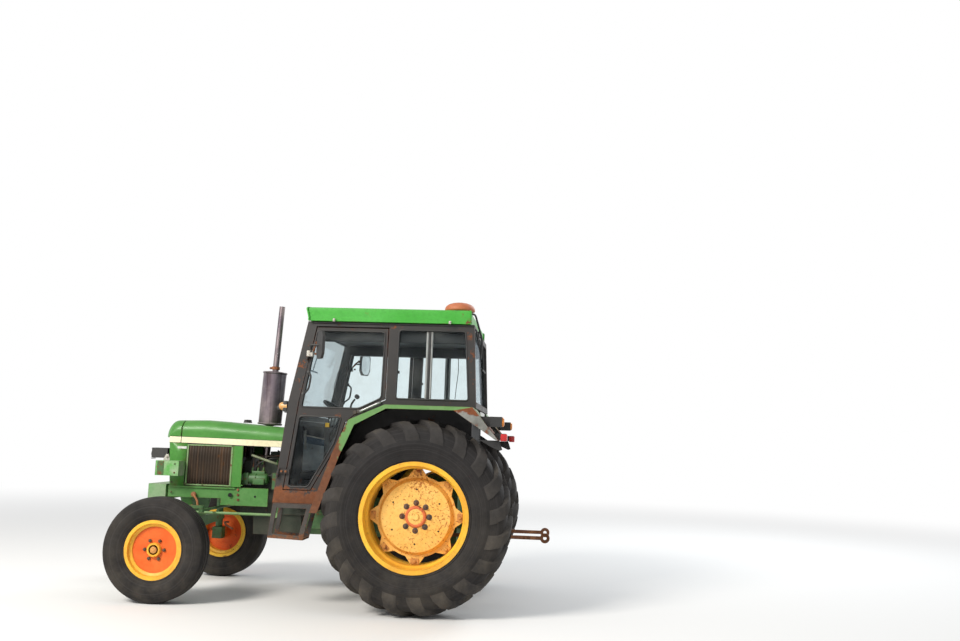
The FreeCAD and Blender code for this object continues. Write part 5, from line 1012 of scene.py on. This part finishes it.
section = [(HOOD_Y, z) for z in (BROW_Z, 1262, 1278, 1291)]
section += [(197 + 95 * math.cos(a), 1291 + 95 * math.sin(a)) for a in (math.radians(9 * k)
                                                                        for k in range(1, 11))]
section += [(y, 1386 + 2 * (1 - (y / 197) ** 2)) for y in (150, 100, 50, 0)]
section += [(-y, z) for y, z in section[-2::-1]]
rows = []
for step in range(23):
    t = math.sin(math.pi / 2 * step / 22)
    row = []
    for y, z in section:
        front = nose_front(y)
        x = SEAM_X + (front - SEAM_X) * t
        reach = (x - (front - 92)) / 92
        g = math.sqrt(max(0.0, 1 - reach ** 2)) if reach > 0 else 1.0
        drop = 14 * ((x - SEAM_X) / 183) ** 1.5
        row.append((x, y, BROW_Z + (z - BROW_Z - drop * (z > 1300)) * g))
    rows.append(row)
rows.append([(nose_front(y) - 3, y * 0.995, 1241) for y, _ in section])
rows.append([(nose_front(y) - 26, y * 0.97, 1238) for y, _ in section])
rows_to_faces(rows)
for side in (1, -1):
    for zs, rear in (((NOSE_LOW, 940, 1030, 1120, 1199.5), lambda z: 1999 - 9 * (z - NOSE_LOW) / 347),
                     ((1199.5, 1222, BROW_Z), lambda z: SEAM_X)):
        rows = []
        for z in zs:
            edge = 2120 + 26 * min(1, (z - NOSE_LOW) / 350)
            line = [(rear(z), HOOD_Y), ((rear(z) + edge) / 2, HOOD_Y), (edge - 14, HOOD_Y)]
            line += [(edge - 14 + 14 * math.sin(a), 278 + 14 * math.cos(a))
                     for a in (0.39, 0.78, 1.17, 1.57)]
            line += [(edge, 262), (edge - 3, 258)]
            rows.append([(x, y * side, z) for x, y in line])
        rows_to_faces(rows)
bmesh.ops.remove_doubles(bench, verts=bench.verts, dist=0.0004)
outward()
nose_skin = thicken(piece("nose_skin", "green", smooth=35), 2.5)
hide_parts("nose")
tell()

# %% [markdown]
# ## Hood cap
# A black filler cap with a handle sits on the hood's middle.

# %% hood cap
turned((1592, 0, 1384), (0, 0, 1), [(0, 36), (6, 36), (8, 33), (20, 32), (25, 28), (27, 0)], 36)
block((1584, -44, 1402), (1600, 44, 1409), 3)
piece("hood_cap", "black", smooth=40)

tell()

# %% [markdown]
# ## Side screens
# A ribbed sheet in a pale frame covers each side of the radiator. The ribs follow a wave
# squared off by tanh, so one formula draws sixteen of them.

# %% side screens
RIBS = 16
for label, side in SIDES:
    x0, x1, low, top = 1612, 1990, 859, 1191
    bars = [(x0, low, x1, low + 11), (x0 - 10, top - 11, x1 - 9, top), (x0 - 8, low, x0 + 5, top),
            (x1 - 14, low, x1 - 1, top)]
    for rear, foot, ahead_x, head_z in bars:
        block((rear, 277 * side, foot), (ahead_x, HOOD_Y * side, head_z), 1.5)
    frame_piece = piece("screen_frame_" + label, "pale_green")
    steps = RIBS * 4
    sheet = []
    for index in range(steps + 1):
        wave = 0.5 - 0.5 * math.tanh(2.2 * math.cos(2 * math.pi * index / 4))
        sheet.append((x0 + 4 + (x1 - x0 - 10) * index / steps, (290 - 10 * wave) * side))
    rows_to_faces([[(x, y, z) for x, y in sheet] for z in (low + 6, 940, 1025, 1110, top - 6)])
    outward()
    thicken(piece("screen_sheet_" + label, "screen", smooth=60), 2)
    plate([(1520, 857), (1594, 857), (1594, 1190), (1520, 1190)], 291.5 * side, 12 * side, 1.5)
    block((1594, 278 * side, 857), (1606, 288 * side, 1190), 1)
    piece("screen_post_" + label, "green")
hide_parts("side_screens")

tell()

# %% [markdown]
# ## Exhaust
# A silencer with rolled rims between two pipes, a little out of plumb, is one turned section.
# The clamps are short bands with an ear and a bolt, and the silencer's lengthwise seam is a
# thin bar.

# %% exhaust
LEAN_ANGLE = math.radians(2.6)
LEAN = Vector((-math.tan(LEAN_ANGLE), 0, 1))
FOOT = (1414, 0, 1071)
section = [(0, 30), (292, 30), (296, 34), (300, 62), (302, 96), (304, 101), (309, 103), (314, 103),
           (318, 99), (322, 96), (330, 97)]
section += [(728, 97), (734, 97), (738, 100), (742, 103), (748, 103), (752, 100), (753, 92), (757, 60),
            (760, 30), (763, 26)]
section += [(1322, 24), (1322, 21), (1240, 21)]
turned(FOOT, LEAN, section, 64)
exhaust_skin = piece("exhaust_skin", "muffler", smooth=30)
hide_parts("exhaust")
for along in (774, 306):
    turned(Vector(FOOT) + LEAN.normalized() * along, LEAN, [(0, 24), (0, 33), (3, 34.5), (22, 34.5),
                                                            (25, 33), (25, 24)], 40)
place = Vector(FOOT) + LEAN.normalized() * 787
block((place.x + 28, -9, place.z - 9), (place.x + 52, 9, place.z + 9), 2)
bolt((place.x + 42, 9, place.z), (0, 1, 0), 6, 7)
piece("exhaust_clamps", "rust", smooth=40)
block((1405, -110, 1390), (1423, -98, 1800), 3, (1410, 0, 1380), Matrix.Rotation(-LEAN_ANGLE, 4, "Y"))
piece("muffler_seam", "muffler")

tell()

# %% [markdown]
# ## Roof and its cap
# The roof is a shallow box of pressed sheet with a bead round its foot and soft corners. A
# bevel modifier can't make the bead, so a rounded rectangle is drawn again and again, at each
# height a little larger or smaller. The vent cap on it is turned.


# %% roof and its cap
CORNER_R = 12


def roof_ring(grow, z, lead):
    """A rounded rectangle, seen from above, grown outward, its front edge moved ahead by lead."""
    ring = []
    for x, y in ((946 + lead, 742), (-362, 742), (-362, -742), (946 + lead, -742)):
        sx, sy = (1 if x > 0 else -1), (1 if y > 0 else -1)
        turns = (0, 15, 30, 45, 60, 75, 90)
        if sx * sy < 0:
            turns = turns[::-1]
        for angle in turns:
            a = math.radians(angle)
            ring.append((x + sx * (grow - CORNER_R + CORNER_R * math.sin(a)), y
                         + sy * (grow - CORNER_R + CORNER_R * math.cos(a)), z))
    return ring


profile = [(-30, 2186, -25), (-4, 2181, -25), (0, 2184, -24), (0, 2200, -22), (-3, 2205, -20),
           (-3, 2252, -8), (-2, 2272, -3), (-4, 2284, -1), (-10, 2289, 0), (-24, 2290, 0), (-90, 2288, 0),
           (-110, 2283, 0), (-140, 2283, 0), (-400, 2286, 0)]
made = [[bench.verts.new(at(*spot)) for spot in roof_ring(*line)] for line in profile]
join(made)
bench.faces.new(made[-1])
bench.faces.new(made[0][::-1])
outward()
roof_skin = piece("roof_skin", "roof", smooth=30)
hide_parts("roof")
turned((-223, 300, 2283), (0, 0, 1), [(0, 84), (34, 84), (42, 88), (50, 108), (56, 121), (62, 124),
                                      (70, 124), (84, 121), (98, 112), (112, 94), (122, 66), (128, 34),
                                      (130, 0)], 64)
cap_skin = piece("roof_cap_skin", "cap", smooth=40)
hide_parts("roof_cap")
# A black band on the underside of the cap's brim is painted shade.
turned((-223, 300, 2326), (0, 0, 1), [(0, 86), (8, 112), (14, 118), (14, 86)], 64)
piece("roof_cap_underside_shade", "black", smooth=40)

tell()

# %% [markdown]
# ## Marker lamp housings
# Each marker lamp leans on a black block with soft edges.

# %% marker lamp housings
for label, side in SIDES:
    block((1058, 640 * side, 1470), (1092, 698 * side, 1554), 8)
    piece("marker_lamp_" + label, "black", smooth=40)

tell()

# %% [markdown]
# ## Engine aids
# Through the open side show the injection pump with its pipes, filters, alternator, starter,
# manifold and hoses. Most are turned bodies with a block or two; the pipes are tubes with wide
# bends. They are rough on purpose: at this distance the outline and the colour tell what they
# are.

# %% pump, pipes and filter
PORTS = (1152, 1275, 1398)
VALVES = (1370, 1415, 1460)
turned((1325, 186, 925), (1, 0, 0), [(0, 0), (0, 30), (6, 40), (20, 46), (92, 46), (96, 52), (104, 52),
                                     (106, 46), (180, 46), (180, 0)], 40)
block((1480, 118, 876), (1530, 236, 974), 8)
block((1345, 206, 880), (1440, 244, 930), 6)
block((1352, 160, 958), (1462, 212, 990), 6)
for x, valve_x in zip(PORTS, VALVES):
    turned((valve_x, 186, 985), (0, 0, 1), [(0, 12), (14, 12), (14, 9), (30, 9), (30, 6), (36, 6),
                                            (36, 0)], 16)
    turned((x, 128, 1042), (0, 0, 1), [(0, 15), (12, 15), (14, 9), (44, 9), (46, 6), (46, 0)], 16)
piece("fuel_pump", "pump_green", smooth=40)
for index, (x, valve_x) in enumerate(zip(PORTS, VALVES)):
    tube([(valve_x, 186, 1018), (valve_x, 190 - 10 * index, 1108), (x + 30, 172 - 14 * index, 1124),
          (x, 128, 1112), (x, 128, 1086)], 4, 8, 40)
piece("fuel_pipes", "stud", smooth=60)
turned((1215, 172, 988), (0, 0, 1), [(0, 0), (0, 30), (4, 34), (96, 34), (100, 38), (112, 38), (114, 12),
                                     (124, 12), (124, 0)], 36)
block((1190, 118, 1028), (1240, 172, 1052), 3)
piece("fuel_filter", "pump_green", smooth=40)
tell()

# %% [markdown]
# ## Electrics and exhaust side
# Alternator and starter are turned like real ones, with their pulley and pinion housing as
# steps of the section. The manifold is a fat tube with a block at each port.

# %% alternator, starter, manifold
turned((1376, -205, 925), (1, 0, 0), [(0, 0), (0, 40), (8, 56), (20, 60), (100, 60), (112, 56), (120, 40),
                                      (120, 26), (160, 26), (160, 40), (168, 42), (172, 32), (176, 42),
                                      (184, 40), (184, 0)], 44)
block((1400, -204, 966), (1420, -118, 984), 3)
piece("alternator", "steel", smooth=40)
turned((1004, -172, 745), (1, 0, 0), [(0, 42), (150, 42), (152, 36), (206, 36), (210, 28), (210, 0)], 36)
turned((1030, -172, 806), (1, 0, 0), [(0, 0), (0, 24), (110, 24), (110, 0)], 28)
piece("starter", "black", smooth=40)
turned((1080, 135, 770), (0, 1, 0), [(0, 38), (12, 38), (14, 44), (92, 44), (100, 38), (105, 20),
                                     (105, 0)], 36)
piece("oil_filter", "pale", smooth=40)
tube([(1190, -156, 1020), (1414, -156, 1020), (1414, -156, 1080), (1414, -40, 1094), (1414, 0, 1090)], 34,
     20, 60)
for x in PORTS:
    block((x - 20, -156, 1000), (x + 20, -116, 1040), 5)
block((1378, -36, 1060), (1450, 36, 1080), 5)
piece("manifold", "rust", smooth=50)
tell()

# %% [markdown]
# ## Cooling
# Two rubber hoses join engine and radiator, and the radiator's core is a stack of thin fins:
# one block repeated up the height, which reads as fine lines behind the open side.

# %% hoses and radiator
tube([(1530, 40, 1000), (1530, 40, 1150), (1548, 40, 1240), (1640, 40, 1245)], 19, 18, 60)
tube([(1555, -60, 760), (1600, -70, 720), (1600, -90, 880), (1645, -90, 890)], 17, 16, 40)
for x, y, z, way in ((1618, 40, 1245, (1, 0, 0)), (1530, 40, 1040, (0, 0, 1))):
    turned((x, y, z), way, [(0, 20), (0, 21.5), (12, 21.5), (12, 20)], 24)
piece("coolant_hoses", "black", smooth=60)
block((1560, -232, 1190), (1735, 232, 1275), 10)
for y in (-226, 218):
    block((1638, y, 856), (1732, y + 8, 1190), 1)
for index in range(46):
    z = 872 + 7 * index
    block((1637, -214, z), (1640, 214, z + 1.5), 0)
piece("radiator_fins", "dark_steel")
tell()

# %% [markdown]
# ## Engine bolts
# Rows of hexagon heads make a plain casting look like a machine.

# %% engine bolts
for _, side in SIDES:
    for x in (1180, 1300, 1420):
        bolt((x, 138 * side, 940), (0, side, 0), 9, 9)
        bolt((x + 40, 138 * side, 670), (0, side, 0), 8, 7)
    for z in (690, 780, 870, 960):
        bolt((1530, 112 * side, z), (0, side, 0), 8, 8)
piece("engine_bolts", "stud")

tell()

# %% [markdown]
# ## Fender rims
# Flat strips follow the fender's edge, with a rusted gusset behind and a black flap below. The
# strip is a row of plates between an outer and an inner line.

# %% fender rims
RIM = [(786, 724), (640, 1162), (592, 1278), (526, 1420), (257, 1540), (-400, 1540), (-600, 1300)]
for label, side in SIDES:
    inner = [(728, 724), (582, 1150), (534, 1257), (482, 1382), (246, 1510), (-388, 1512), (-588, 1300)]
    for index in range(len(RIM) - 1):
        a, b, c, d = RIM[index], RIM[index + 1], inner[index + 1], inner[index]
        plate([a, b, c, d], 901.5 * side, 4 * side)
    outward()
    piece("fender_rim_" + label, "fender")
    plate([(-262, 1511), (-402, 1538), (-598, 1302), (-580, 1302)], 902.2 * side, 3 * side)
    outward()
    piece("fender_gusset_" + label, "gusset")
    plate([(-450, 1300), (-604, 1300), (-628, 1232), (-606, 1224), (-540, 1252), (-470, 1292)],
          802 * side, 4 * side, 1)
    outward()
    piece("fender_flap_" + label, "black")

tell()

# %% [markdown]
# ## Seals and window posts
# Every pane sits in a black rubber seal: a closed tube outside and a thinner one inside. The
# side windows slide behind a pale middle post. Under the roof's edge runs a gasket.

# %% seals
PANES = {
    "door": {
        "upper": [(848, 2110), (948, 1510), (496, 1510), (322, 1596), (314, 2110)],
        "lower": [(957, 1440), (1018, 900), (860, 900), (670, 1246), (626, 1440)],
    },
    "side": {"window": [(204, 2128), (-315, 2128), (-352, 1594), (214, 1594)]},
}
SEAL_R = 7
for label, side in SIDES:
    for owner, outlines in PANES.items():
        body = "door_%s_body" % label if owner == "door" else "chassis"
        for outline in outlines.values():
            tube([(x, 699 * side, z) for x, z in outline], SEAL_R, 8, 26, True)
            tube([(x, 668 * side, z) for x, z in outline], SEAL_R * 0.7, 6, 26, True)
        piece(owner + "_seals_" + label, "black", body, 60)
    for x in (-17, -52):
        block((x - 9, 672 * side, 1601), (x + 9, 676 * side, 2121), 1.5)
        block((x - 3, 688 * side, 1601), (x + 3, 693 * side, 2121), 1)
    piece("side_window_posts_" + label, "pale_metal")
    block((-43, 670 * side, 1601), (-26, 694 * side, 2121), 2)
    block((192, 672 * side, 1790), (216, 692 * side, 1812), 3)
    piece("side_window_mullion_" + label, "black")
    tube([(860, 708 * side, 2146), (290, 708 * side, 2147)], 5, 8)
    tube([(880, 706 * side, 2172), (-372, 706 * side, 2172)], 6, 8)
    piece("roof_gasket_" + label, "black", smooth=60)
tube([(936, y, 2130) for y in (-650, 650)], 6, 8)
piece("windscreen_seal_top", "black", smooth=60)

tell()

# %% [markdown]
# ## Door furniture
# Grab rail, handle, latch, mirror stay and hinge bolts are tied to the door's body, so that
# they swing with it.

# %% door furniture
for label, side in SIDES:
    body = "door_%s_body" % label
    tube([(902, 702 * side, 1777), (872, 740 * side, 1752), (884, 740 * side, 1650),
          (934, 702 * side, 1606)], 8, 12, 26)
    for x, z in ((902, 1777), (934, 1606)):
        turned((x, 700 * side, z), (0, side, 0), [(0, 16), (4, 16), (6, 13), (6, 0)], 20)
    piece("grab_rail_" + label, "black", body, 50)
    tube([(482, 702 * side, 1488), (470, 728 * side, 1492), (335, 728 * side, 1556),
          (324, 702 * side, 1562)], 9, 12, 18)
    piece("door_handle_" + label, "pale_metal", body, 50)
    block((446, 700 * side, 1474), (504, 712 * side, 1502), 3)
    turned((520, 700 * side, 1478), (0, side, 0), [(0, 15), (12, 15), (15, 12), (15, 0)], 24)
    piece("door_latch_" + label, "dark_steel", body, 40)
    tube([(874, 722 * side, 1932), (842, 760 * side, 1985), (824, 792 * side, 2001)], 6.5, 10, 20)
    turned((824, 786 * side, 2001), (0, side, 0), [(0, 12), (16, 12), (18, 9), (18, 0)], 20)
    piece("mirror_stay_" + label, "rust", body, 50)
    block((866, 716 * side, 1900), (914, 752 * side, 1946), 5)
    bolt((890, 752 * side, 1935), (0, side, 0), 6, 5)
    bolt((890, 752 * side, 1911), (0, side, 0), 6, 5)
    piece("mirror_clamp_" + label, "pale", body, 40)
    for x, z in ((880, 1922), (848, 1922), (1061, 1014), (1029, 1014)):
        bolt((x, 731 * side, z), (0, side, 0), 7, 6)
    piece("hinge_bolts_" + label, "rust", body)
    for x in (714, -193):
        block((x - 10, 741 * side, 2178), (x + 10, 747 * side, 2202), 2)
        turned((x, 745 * side, 2193), (0, side, 0), [(0, 8), (6, 8), (8, 5), (8, 0)], 16)
    piece("roof_clips_" + label, "pale", smooth=40)

tell()

# %% [markdown]
# ## Bracket, wipers and plate
# A looped bracket hangs behind the roof, each screen has a wiper, and a bare number plate sits
# at the back.

# %% rear bracket, wipers and plate
tube([(-350, 600, 2278), (-376, 600, 2276), (-436, 600, 2078), (-431, 600, 1946)], 8, 12, 30)
tube([(-370, 600, 2158), (-386, 600, 2156), (-426, 600, 1962)], 6, 12, 14)
block((-438, 590, 1930), (-424, 610, 1956), 3)
piece("rear_bracket", "black", smooth=50)
tube([(-395, 380, 2128), (-420, 368, 2110), (-430, 245, 1862)], 5, 8, 12)
block((-436, 90, 1852), (-426, 400, 1864), 2)
block((-398, 340, 2120), (-372, 420, 2166), 6)
piece("rear_wiper", "black", smooth=40)
tube([(962, -40, 2150), (992, -30, 2120), (1013, 155, 1829)], 5, 8, 12)
block((1008, 10, 1822), (1018, 300, 1834), 2)
block((940, -80, 2136), (968, 0, 2176), 6)
piece("front_wiper", "black", smooth=40)
block((-415, -250, 1440), (-409, 250, 1530), 3)
piece("number_plate", "blank")

tell()

# %% [markdown]
# ## Dash and levers
# Three bare dials with pale rims, pedals, a hand lever with a knob, and the boss that carries
# the steering wheel. Behind dusty glass only their place and tone count, so they stay simple.

# %% dash and levers
DIALS = ((862, 110, 42), (862, 0, 52), (862, -110, 42))
for x, y, r in DIALS:
    turned((x - 14, y, 1415), (-1, 0, 0), [(0, r), (6, r), (8, r - 3), (5, r - 6)], 40)
piece("dial_rims", "pale_metal", smooth=40)
for x, y, r in DIALS:
    turned((x - 14, y, 1415), (-1, 0, 0), [(4, r - 6), (4.5, 0)], 40)
    block((x - 20, y - 2, 1415), (x - 19, y + 2, 1415 + r * 0.6), 0)
piece("dials", "blank", smooth=40)
tube([(640, 300, 1190), (644, 300, 1554), (612, 300, 1600)], 8, 10, 30)
turned((606, 300, 1606), (-0.6, 0, 0.8), [(0, 12), (8, 20), (20, 22), (32, 16), (36, 0)], 24)
piece("hand_lever", "black", smooth=50)
for y in (-150, -95, 120):
    tube([(985, y, 960), (925, y, 1010), (905, y, 1075)], 7, 8, 25)
    block((880, y - 32, 1068), (916, y + 32, 1080), 3, (900, y, 1074),
          Matrix.Rotation(math.radians(28), 4, "Y"))
piece("pedals", "dark_steel", smooth=40)
turned((760, 0, 1490), (0.445, 0, -0.896), [(-26, 0), (-26, 22), (-22, 30), (2, 34)], 32)
piece("wheel_boss", "black", smooth=40)

tell()

# %% [markdown]
# ## The seat
# A seat pad is a cover pulled tight over foam. A bevelled block looks like a brick, so the pad
# starts as a smaller block of fine mesh and cloth simulation blows it up from inside. A copy of
# the blown-up mesh is kept and the cloth is taken off again.


# %% swelling a pad
LAST_FRAME = 20


def baked(obj):
    """Turn what the modifiers make of an object into its own mesh."""
    obj.data = bpy.data.meshes.new_from_object(obj.evaluated_get(bpy.context.evaluated_depsgraph_get()))
    obj.modifiers.clear()


def swollen(name, low, high, inset, rise):
    """A pad that cloth simulation swells from a smaller block, kept inside low..high."""
    block([a + b for a, b in zip(low, inset)], [a - b for a, b in zip(high, inset)], 20)
    pad = piece(name, "vinyl")
    remesh = pad.modifiers.new("remesh", "REMESH")
    remesh.mode = "VOXEL"
    remesh.voxel_size = 0.006
    baked(pad)
    still = [vert.co.copy() for vert in pad.data.vertices]
    cloth = pad.modifiers.new("cloth", "CLOTH")
    cloth.settings.use_pressure = True
    cloth.settings.uniform_pressure_force = 4.0
    cloth.settings.effector_weights.gravity = 0.0
    cloth.point_cache.frame_end = LAST_FRAME
    for frame_now in range(1, LAST_FRAME + 1):
        bpy.context.scene.frame_set(frame_now)
    baked(pad)
    bpy.context.scene.frame_set(1)
    moved = [vert.co - rest for vert, rest in zip(pad.data.vertices, still)]
    most = max(move.length for move in moved)
    least, greatest = at(*low), at(*high)
    for vert, rest, move in zip(pad.data.vertices, still, moved):
        spot = rest + move * min(1.0, rise / 1000 / most)
        vert.co = Vector(min(max(spot[i], least[i] + 0.0005), greatest[i] - 0.0005) for i in range(3))
    pad.data.shade_smooth()
    rounder = pad.modifiers.new("rounder", "SUBSURF")
    rounder.levels = 1
    rounder.render_levels = 1
    print(name, len(pad.data.vertices), "points, swelled", round(most * 1000), "mm")
    return pad


# %% [markdown]
# ## Piping and pads
# The seams of the pads carry a round piping. Rays shot inward from a ring of points find the
# pad's side, and a closed tube runs through the places that they hit, so the piping fits the
# pad however much it has swelled.


# %% piping and pads
def around(pad, height, axis, name):
    """Piping round a pad, square to an axis at a height on it: rays from outside find the side."""
    middle = sum((vert.co for vert in pad.data.vertices), Vector()) / len(pad.data.vertices)
    tree = BVHTree.FromObject(pad, bpy.context.evaluated_depsgraph_get())
    middle[axis] = height
    path = []
    for step in range(72):
        a = 2 * math.pi * step / 72
        way = Vector((math.cos(a), math.sin(a), 0)) if axis == 2 else Vector((0, math.cos(a),
                                                                              math.sin(a)))
        spot = tree.ray_cast(middle + way, -way)[0]
        if spot:
            path.append((spot.x * 1000 - AXLE_X, spot.y * 1000, spot.z * 1000))
    tube(path, 3.5, 8, 0, True)
    piece(name, "black", smooth=60)


cushion = swollen("seat_cushion_pad", (115.3, -225, 1190), (545, 225, 1290), (16, 16, 14), 20)
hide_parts("seat_cushion")
around(cushion, 1.266, 2, "seat_cushion_piping")
back = swollen("seat_back_pad", (25, -225, 1190), (115, 225, 1650), (14, 16, 16), 18)
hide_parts("seat_back")
around(back, AXLE_X / 1000 + 0.098, 0, "seat_back_piping")

tell()

# %% [markdown]
# ## Headliner and console sides
# The roof's inside is covered by a soft liner with an air duct on each side. The console shows
# a grey side with a blue band and a pale edge.

# %% headliner and console sides
block((-330, -640, 2122), (880, 640, 2176), 10)
for _, side in SIDES:
    block((-320, 560 * side, 2036), (860, 640 * side, 2130), 16)
piece("headliner", "vinyl", smooth=40)
for label, side in SIDES:
    plate([(872, 1010), (1046, 1010), (1046, 1232), (872, 1210)], 196 * side, 5 * side, 1)
    piece("console_side_" + label, "panel_grey")
    plate([(872, 1210), (1046, 1232), (1046, 1290), (872, 1262)], 197 * side, 5 * side, 1)
    piece("console_band_" + label, "panel_blue")
    plate([(872, 1262), (1046, 1290), (1046, 1302), (872, 1272)], 199 * side, 8 * side, 1)
    plate([(1018, 1180), (1036, 1180), (1044, 1330), (1028, 1340)], 203 * side, 10 * side, 2)
    piece("console_edge_" + label, "pale")
tell()

# %% [markdown]
# ## Mirror faces
# The glass of a door mirror is a slightly domed sheet with rounded corners: a circle whose
# cosine and sine are raised to a power, which squares it off. A thin rim turns back at the
# edge.

# %% mirror faces
ROUND = 48
for label, side in SIDES:
    middle = at(770, 850 * side, 1980)
    rows = []
    for reach, ahead_by in ((0.97, -2.0), (1.0, -1.2), (1.0, 0.4)):
        row = []
        for step in range(ROUND):
            a = 2 * math.pi * step / ROUND
            across = 53 * reach * math.copysign(abs(math.cos(a)) ** 0.7, math.cos(a))
            rise = 98 * reach * math.copysign(abs(math.sin(a)) ** 0.7, math.sin(a))
            row.append(bench.verts.new(middle + Vector((ahead_by, across, rise)) / 1000))
        rows.append(row)
    join(rows)
    bench.faces.new(rows[0])
    bmesh.ops.rotate(bench, verts=bench.verts, cent=middle,
                     matrix=Matrix.Rotation(math.radians(35 * side), 4, "Z"))
    outward()
    piece("mirror_face_" + label, "mirror_glass", "door_%s_body" % label)
tell()

# %% [markdown]
# ## Switch box and loose wires
# A small bare box stands on the dash, and two loose wires hang from the frame. They are trim,
# so they are plain tubes.

# %% switch box and wires
block((838, 190, 1366), (872, 198, 1402), 2)
piece("switch_box", "rim")
tube([(949, -500, 1880), (987, -500, 1727), (960, -500, 1640), (939, -500, 1562)], 3, 8, 60)
tube([(-145, -500, 2040), (-150, -500, 1900), (-138, -500, 1800), (-127, -500, 1662)], 3, 8, 60)
piece("loose_wires", "black", smooth=60)

tell()

# %% [markdown]
# ## Pipes and belt
# A cream pipe and a grey hose cross the engine in front; thin black lines feed the filters, and
# the fan belt is one closed tube round its pulleys.

# %% pipes and belt
tube([(1468, 214, 1118), (1436, 218, 1108), (1300, 214, 1066), (1262, 190, 1052)], 10, 14, 20)
piece("cream_pipe", "cream_pipe", smooth=50)
tube([(1548, 150, 1090), (1556, 214, 1040), (1552, 222, 960), (1520, 214, 905), (1466, 190, 880)], 13, 14,
     40)
piece("grey_hose", "grey_hose", smooth=50)
tube([(1215, 172, 1000), (1215, 206, 980), (1300, 214, 958), (1330, 196, 952)], 5, 10, 24)
tube([(1240, 172, 1085), (1290, 206, 1100), (1400, 212, 1060), (1460, 190, 990)], 5, 10, 40)
tube([(1096, 150, 905), (1150, 196, 1000), (1190, 190, 1120), (1270, 150, 1160)], 6, 10, 60)
piece("fuel_lines", "black", smooth=50)
turned((1215, 172, 928), (0, 0, 1), [(0, 0), (0, 22), (5, 29), (60, 31), (62, 34), (62, 0)], 32)
piece("filter_bowl", "bowl", smooth=50)
turned((1080, 240, 770), (0, 1, 0), [(-90, 46), (-4, 46), (4, 40), (6, 14), (6, 0)], 36)
piece("oil_filter_can", "pale", smooth=40)
belt = [(1552, 62, 1006), (1552, 40, 1048), (1552, 0, 1062), (1552, -40, 1050), (1552, -196, 962),
        (1552, -236, 930), (1552, -226, 896), (1552, -96, 690), (1552, -60, 640), (1552, 0, 622),
        (1552, 60, 640), (1552, 88, 700)]
tube(belt, 6, 8, 24, True)
piece("fan_belt", "black", smooth=60)
tell()

# %% [markdown]
# ## Bolts, holes and edges of the side plates
# The plates at the engine's side carry rows of bolts and two holes; the holes are near-black
# discs of painted shade laid on the sheet.

# %% side plate bolts
for ending, side in (("", 1), ("_right", -1)):
    for x, z in ((1545, 834), (1542, 794), (1539, 754)):
        bolt((x, 276 * side, z), (0, side, 0), 9, 9)
    piece("side_plate_bolts" + ending, "rust")
    for x, z in ((2100, 880), (2100, 800), (1990, 870), (1840, 866)):
        bolt((x, 291 * side, z), (0, side, 0), 7, 6)
    piece("cheek_bolts" + ending, "old_green_shaded")
# The two holes on each side are near-black discs of painted shade.
for _, side in SIDES:
    for x, z, y, r in ((1604, 792, 290.5, 17), (1400, 785, 275.5, 9)):
        turned((x, (y - 2) * side, z), (0, side, 0), [(0, r), (2.4, r), (2.5, r * 0.97), (2.5, 0)], 24)
piece("plate_hole_shade", "painted_shade", smooth=40)
for _, side in SIDES:
    plate([(1505, 868), (1582, 868), (1580, 876), (1505, 876)], 291 * side, 20 * side, 2)
    tube([(1523, 291 * side, 880), (1523, 291 * side, 1185)], 6, 8)
piece("post_edge", "green")

tell()

# %% [markdown]
# ## Under the front
# Kingpin nuts, a lever on the axle, the stop lever and two blind bosses on the ballast.

# %% under the front
tube([(1908, 300, 787), (1880, 330, 770), (1850, 350, 740), (1842, 352, 690)], 9, 10, 26)
turned((1904, 292, 788), (0, 1, 0), [(0, 20), (16, 20), (20, 14), (20, 0)], 20)
piece("axle_lever", "rust", smooth=50)
for _, side in SIDES:
    turned((WHEELBASE, 572 * side, 716), (0, 0, 1), [(0, 20), (6, 20), (8, 10), (18, 9), (18, 0)], 20)
    turned((1806, 572 * side, 712), (0, 0, 1), [(-16, 17), (8, 17), (12, 10), (12, 0)], 20)
    turned((1958, 620 * side, 400), (0, 0, 1), [(0, 6), (16, 6), (16, 0)], 12)
piece("kingpin_nuts", "rust", smooth=40)
tube([(1660, 120, 560), (1680, 180, 566), (1640, 210, 540), (1588, 214, 516)], 8, 10, 26)
piece("stop_lever", "rust", smooth=50)
block((2318, -206, 746), (2325, 206, 752), 1)
for y in (-120, 120):
    turned((2323, y, 800), (1, 0, 0), [(-1, 26), (4, 26), (6, 22), (6, 10), (3, 8), (3, 0)], 28)
piece("ballast_marks", "ballast", smooth=40)

tell()

# %% [markdown]
# ## Rear hardware
# A ring of bolts holds each axle trumpet, and three hose couplings sit on the lift housing.

# %% rear hardware
for _, side in SIDES:
    for x, z in on_circle(8, 92, 0, REAR_R, 22):
        bolt((x, 162 * side, z), (0, side, 0), 8, 8)
piece("trumpet_bolts", "rust")
for y, z, drop in ((90, 985, 60), (120, 985, 60), (-90, 985, 50)):
    turned((-372, y, z - 30), (-1, 0, 0), [(0, 14), (26, 14), (26, 11), (44, 11), (44, 6), (44, 0)], 20)
    tube([(-352, y, z - 30), (-340, y, z + 30), (-300, y * 0.9, z + 46)], 7, 10, 30)
piece("couplings", "dark_steel", smooth=50)
tell()

# %% [markdown]
# ## Sizes and end
# The bounds of the shown tractor are taken; the floor, the lamps and hidden solids are left out.

# %% sizes and end
low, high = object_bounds()
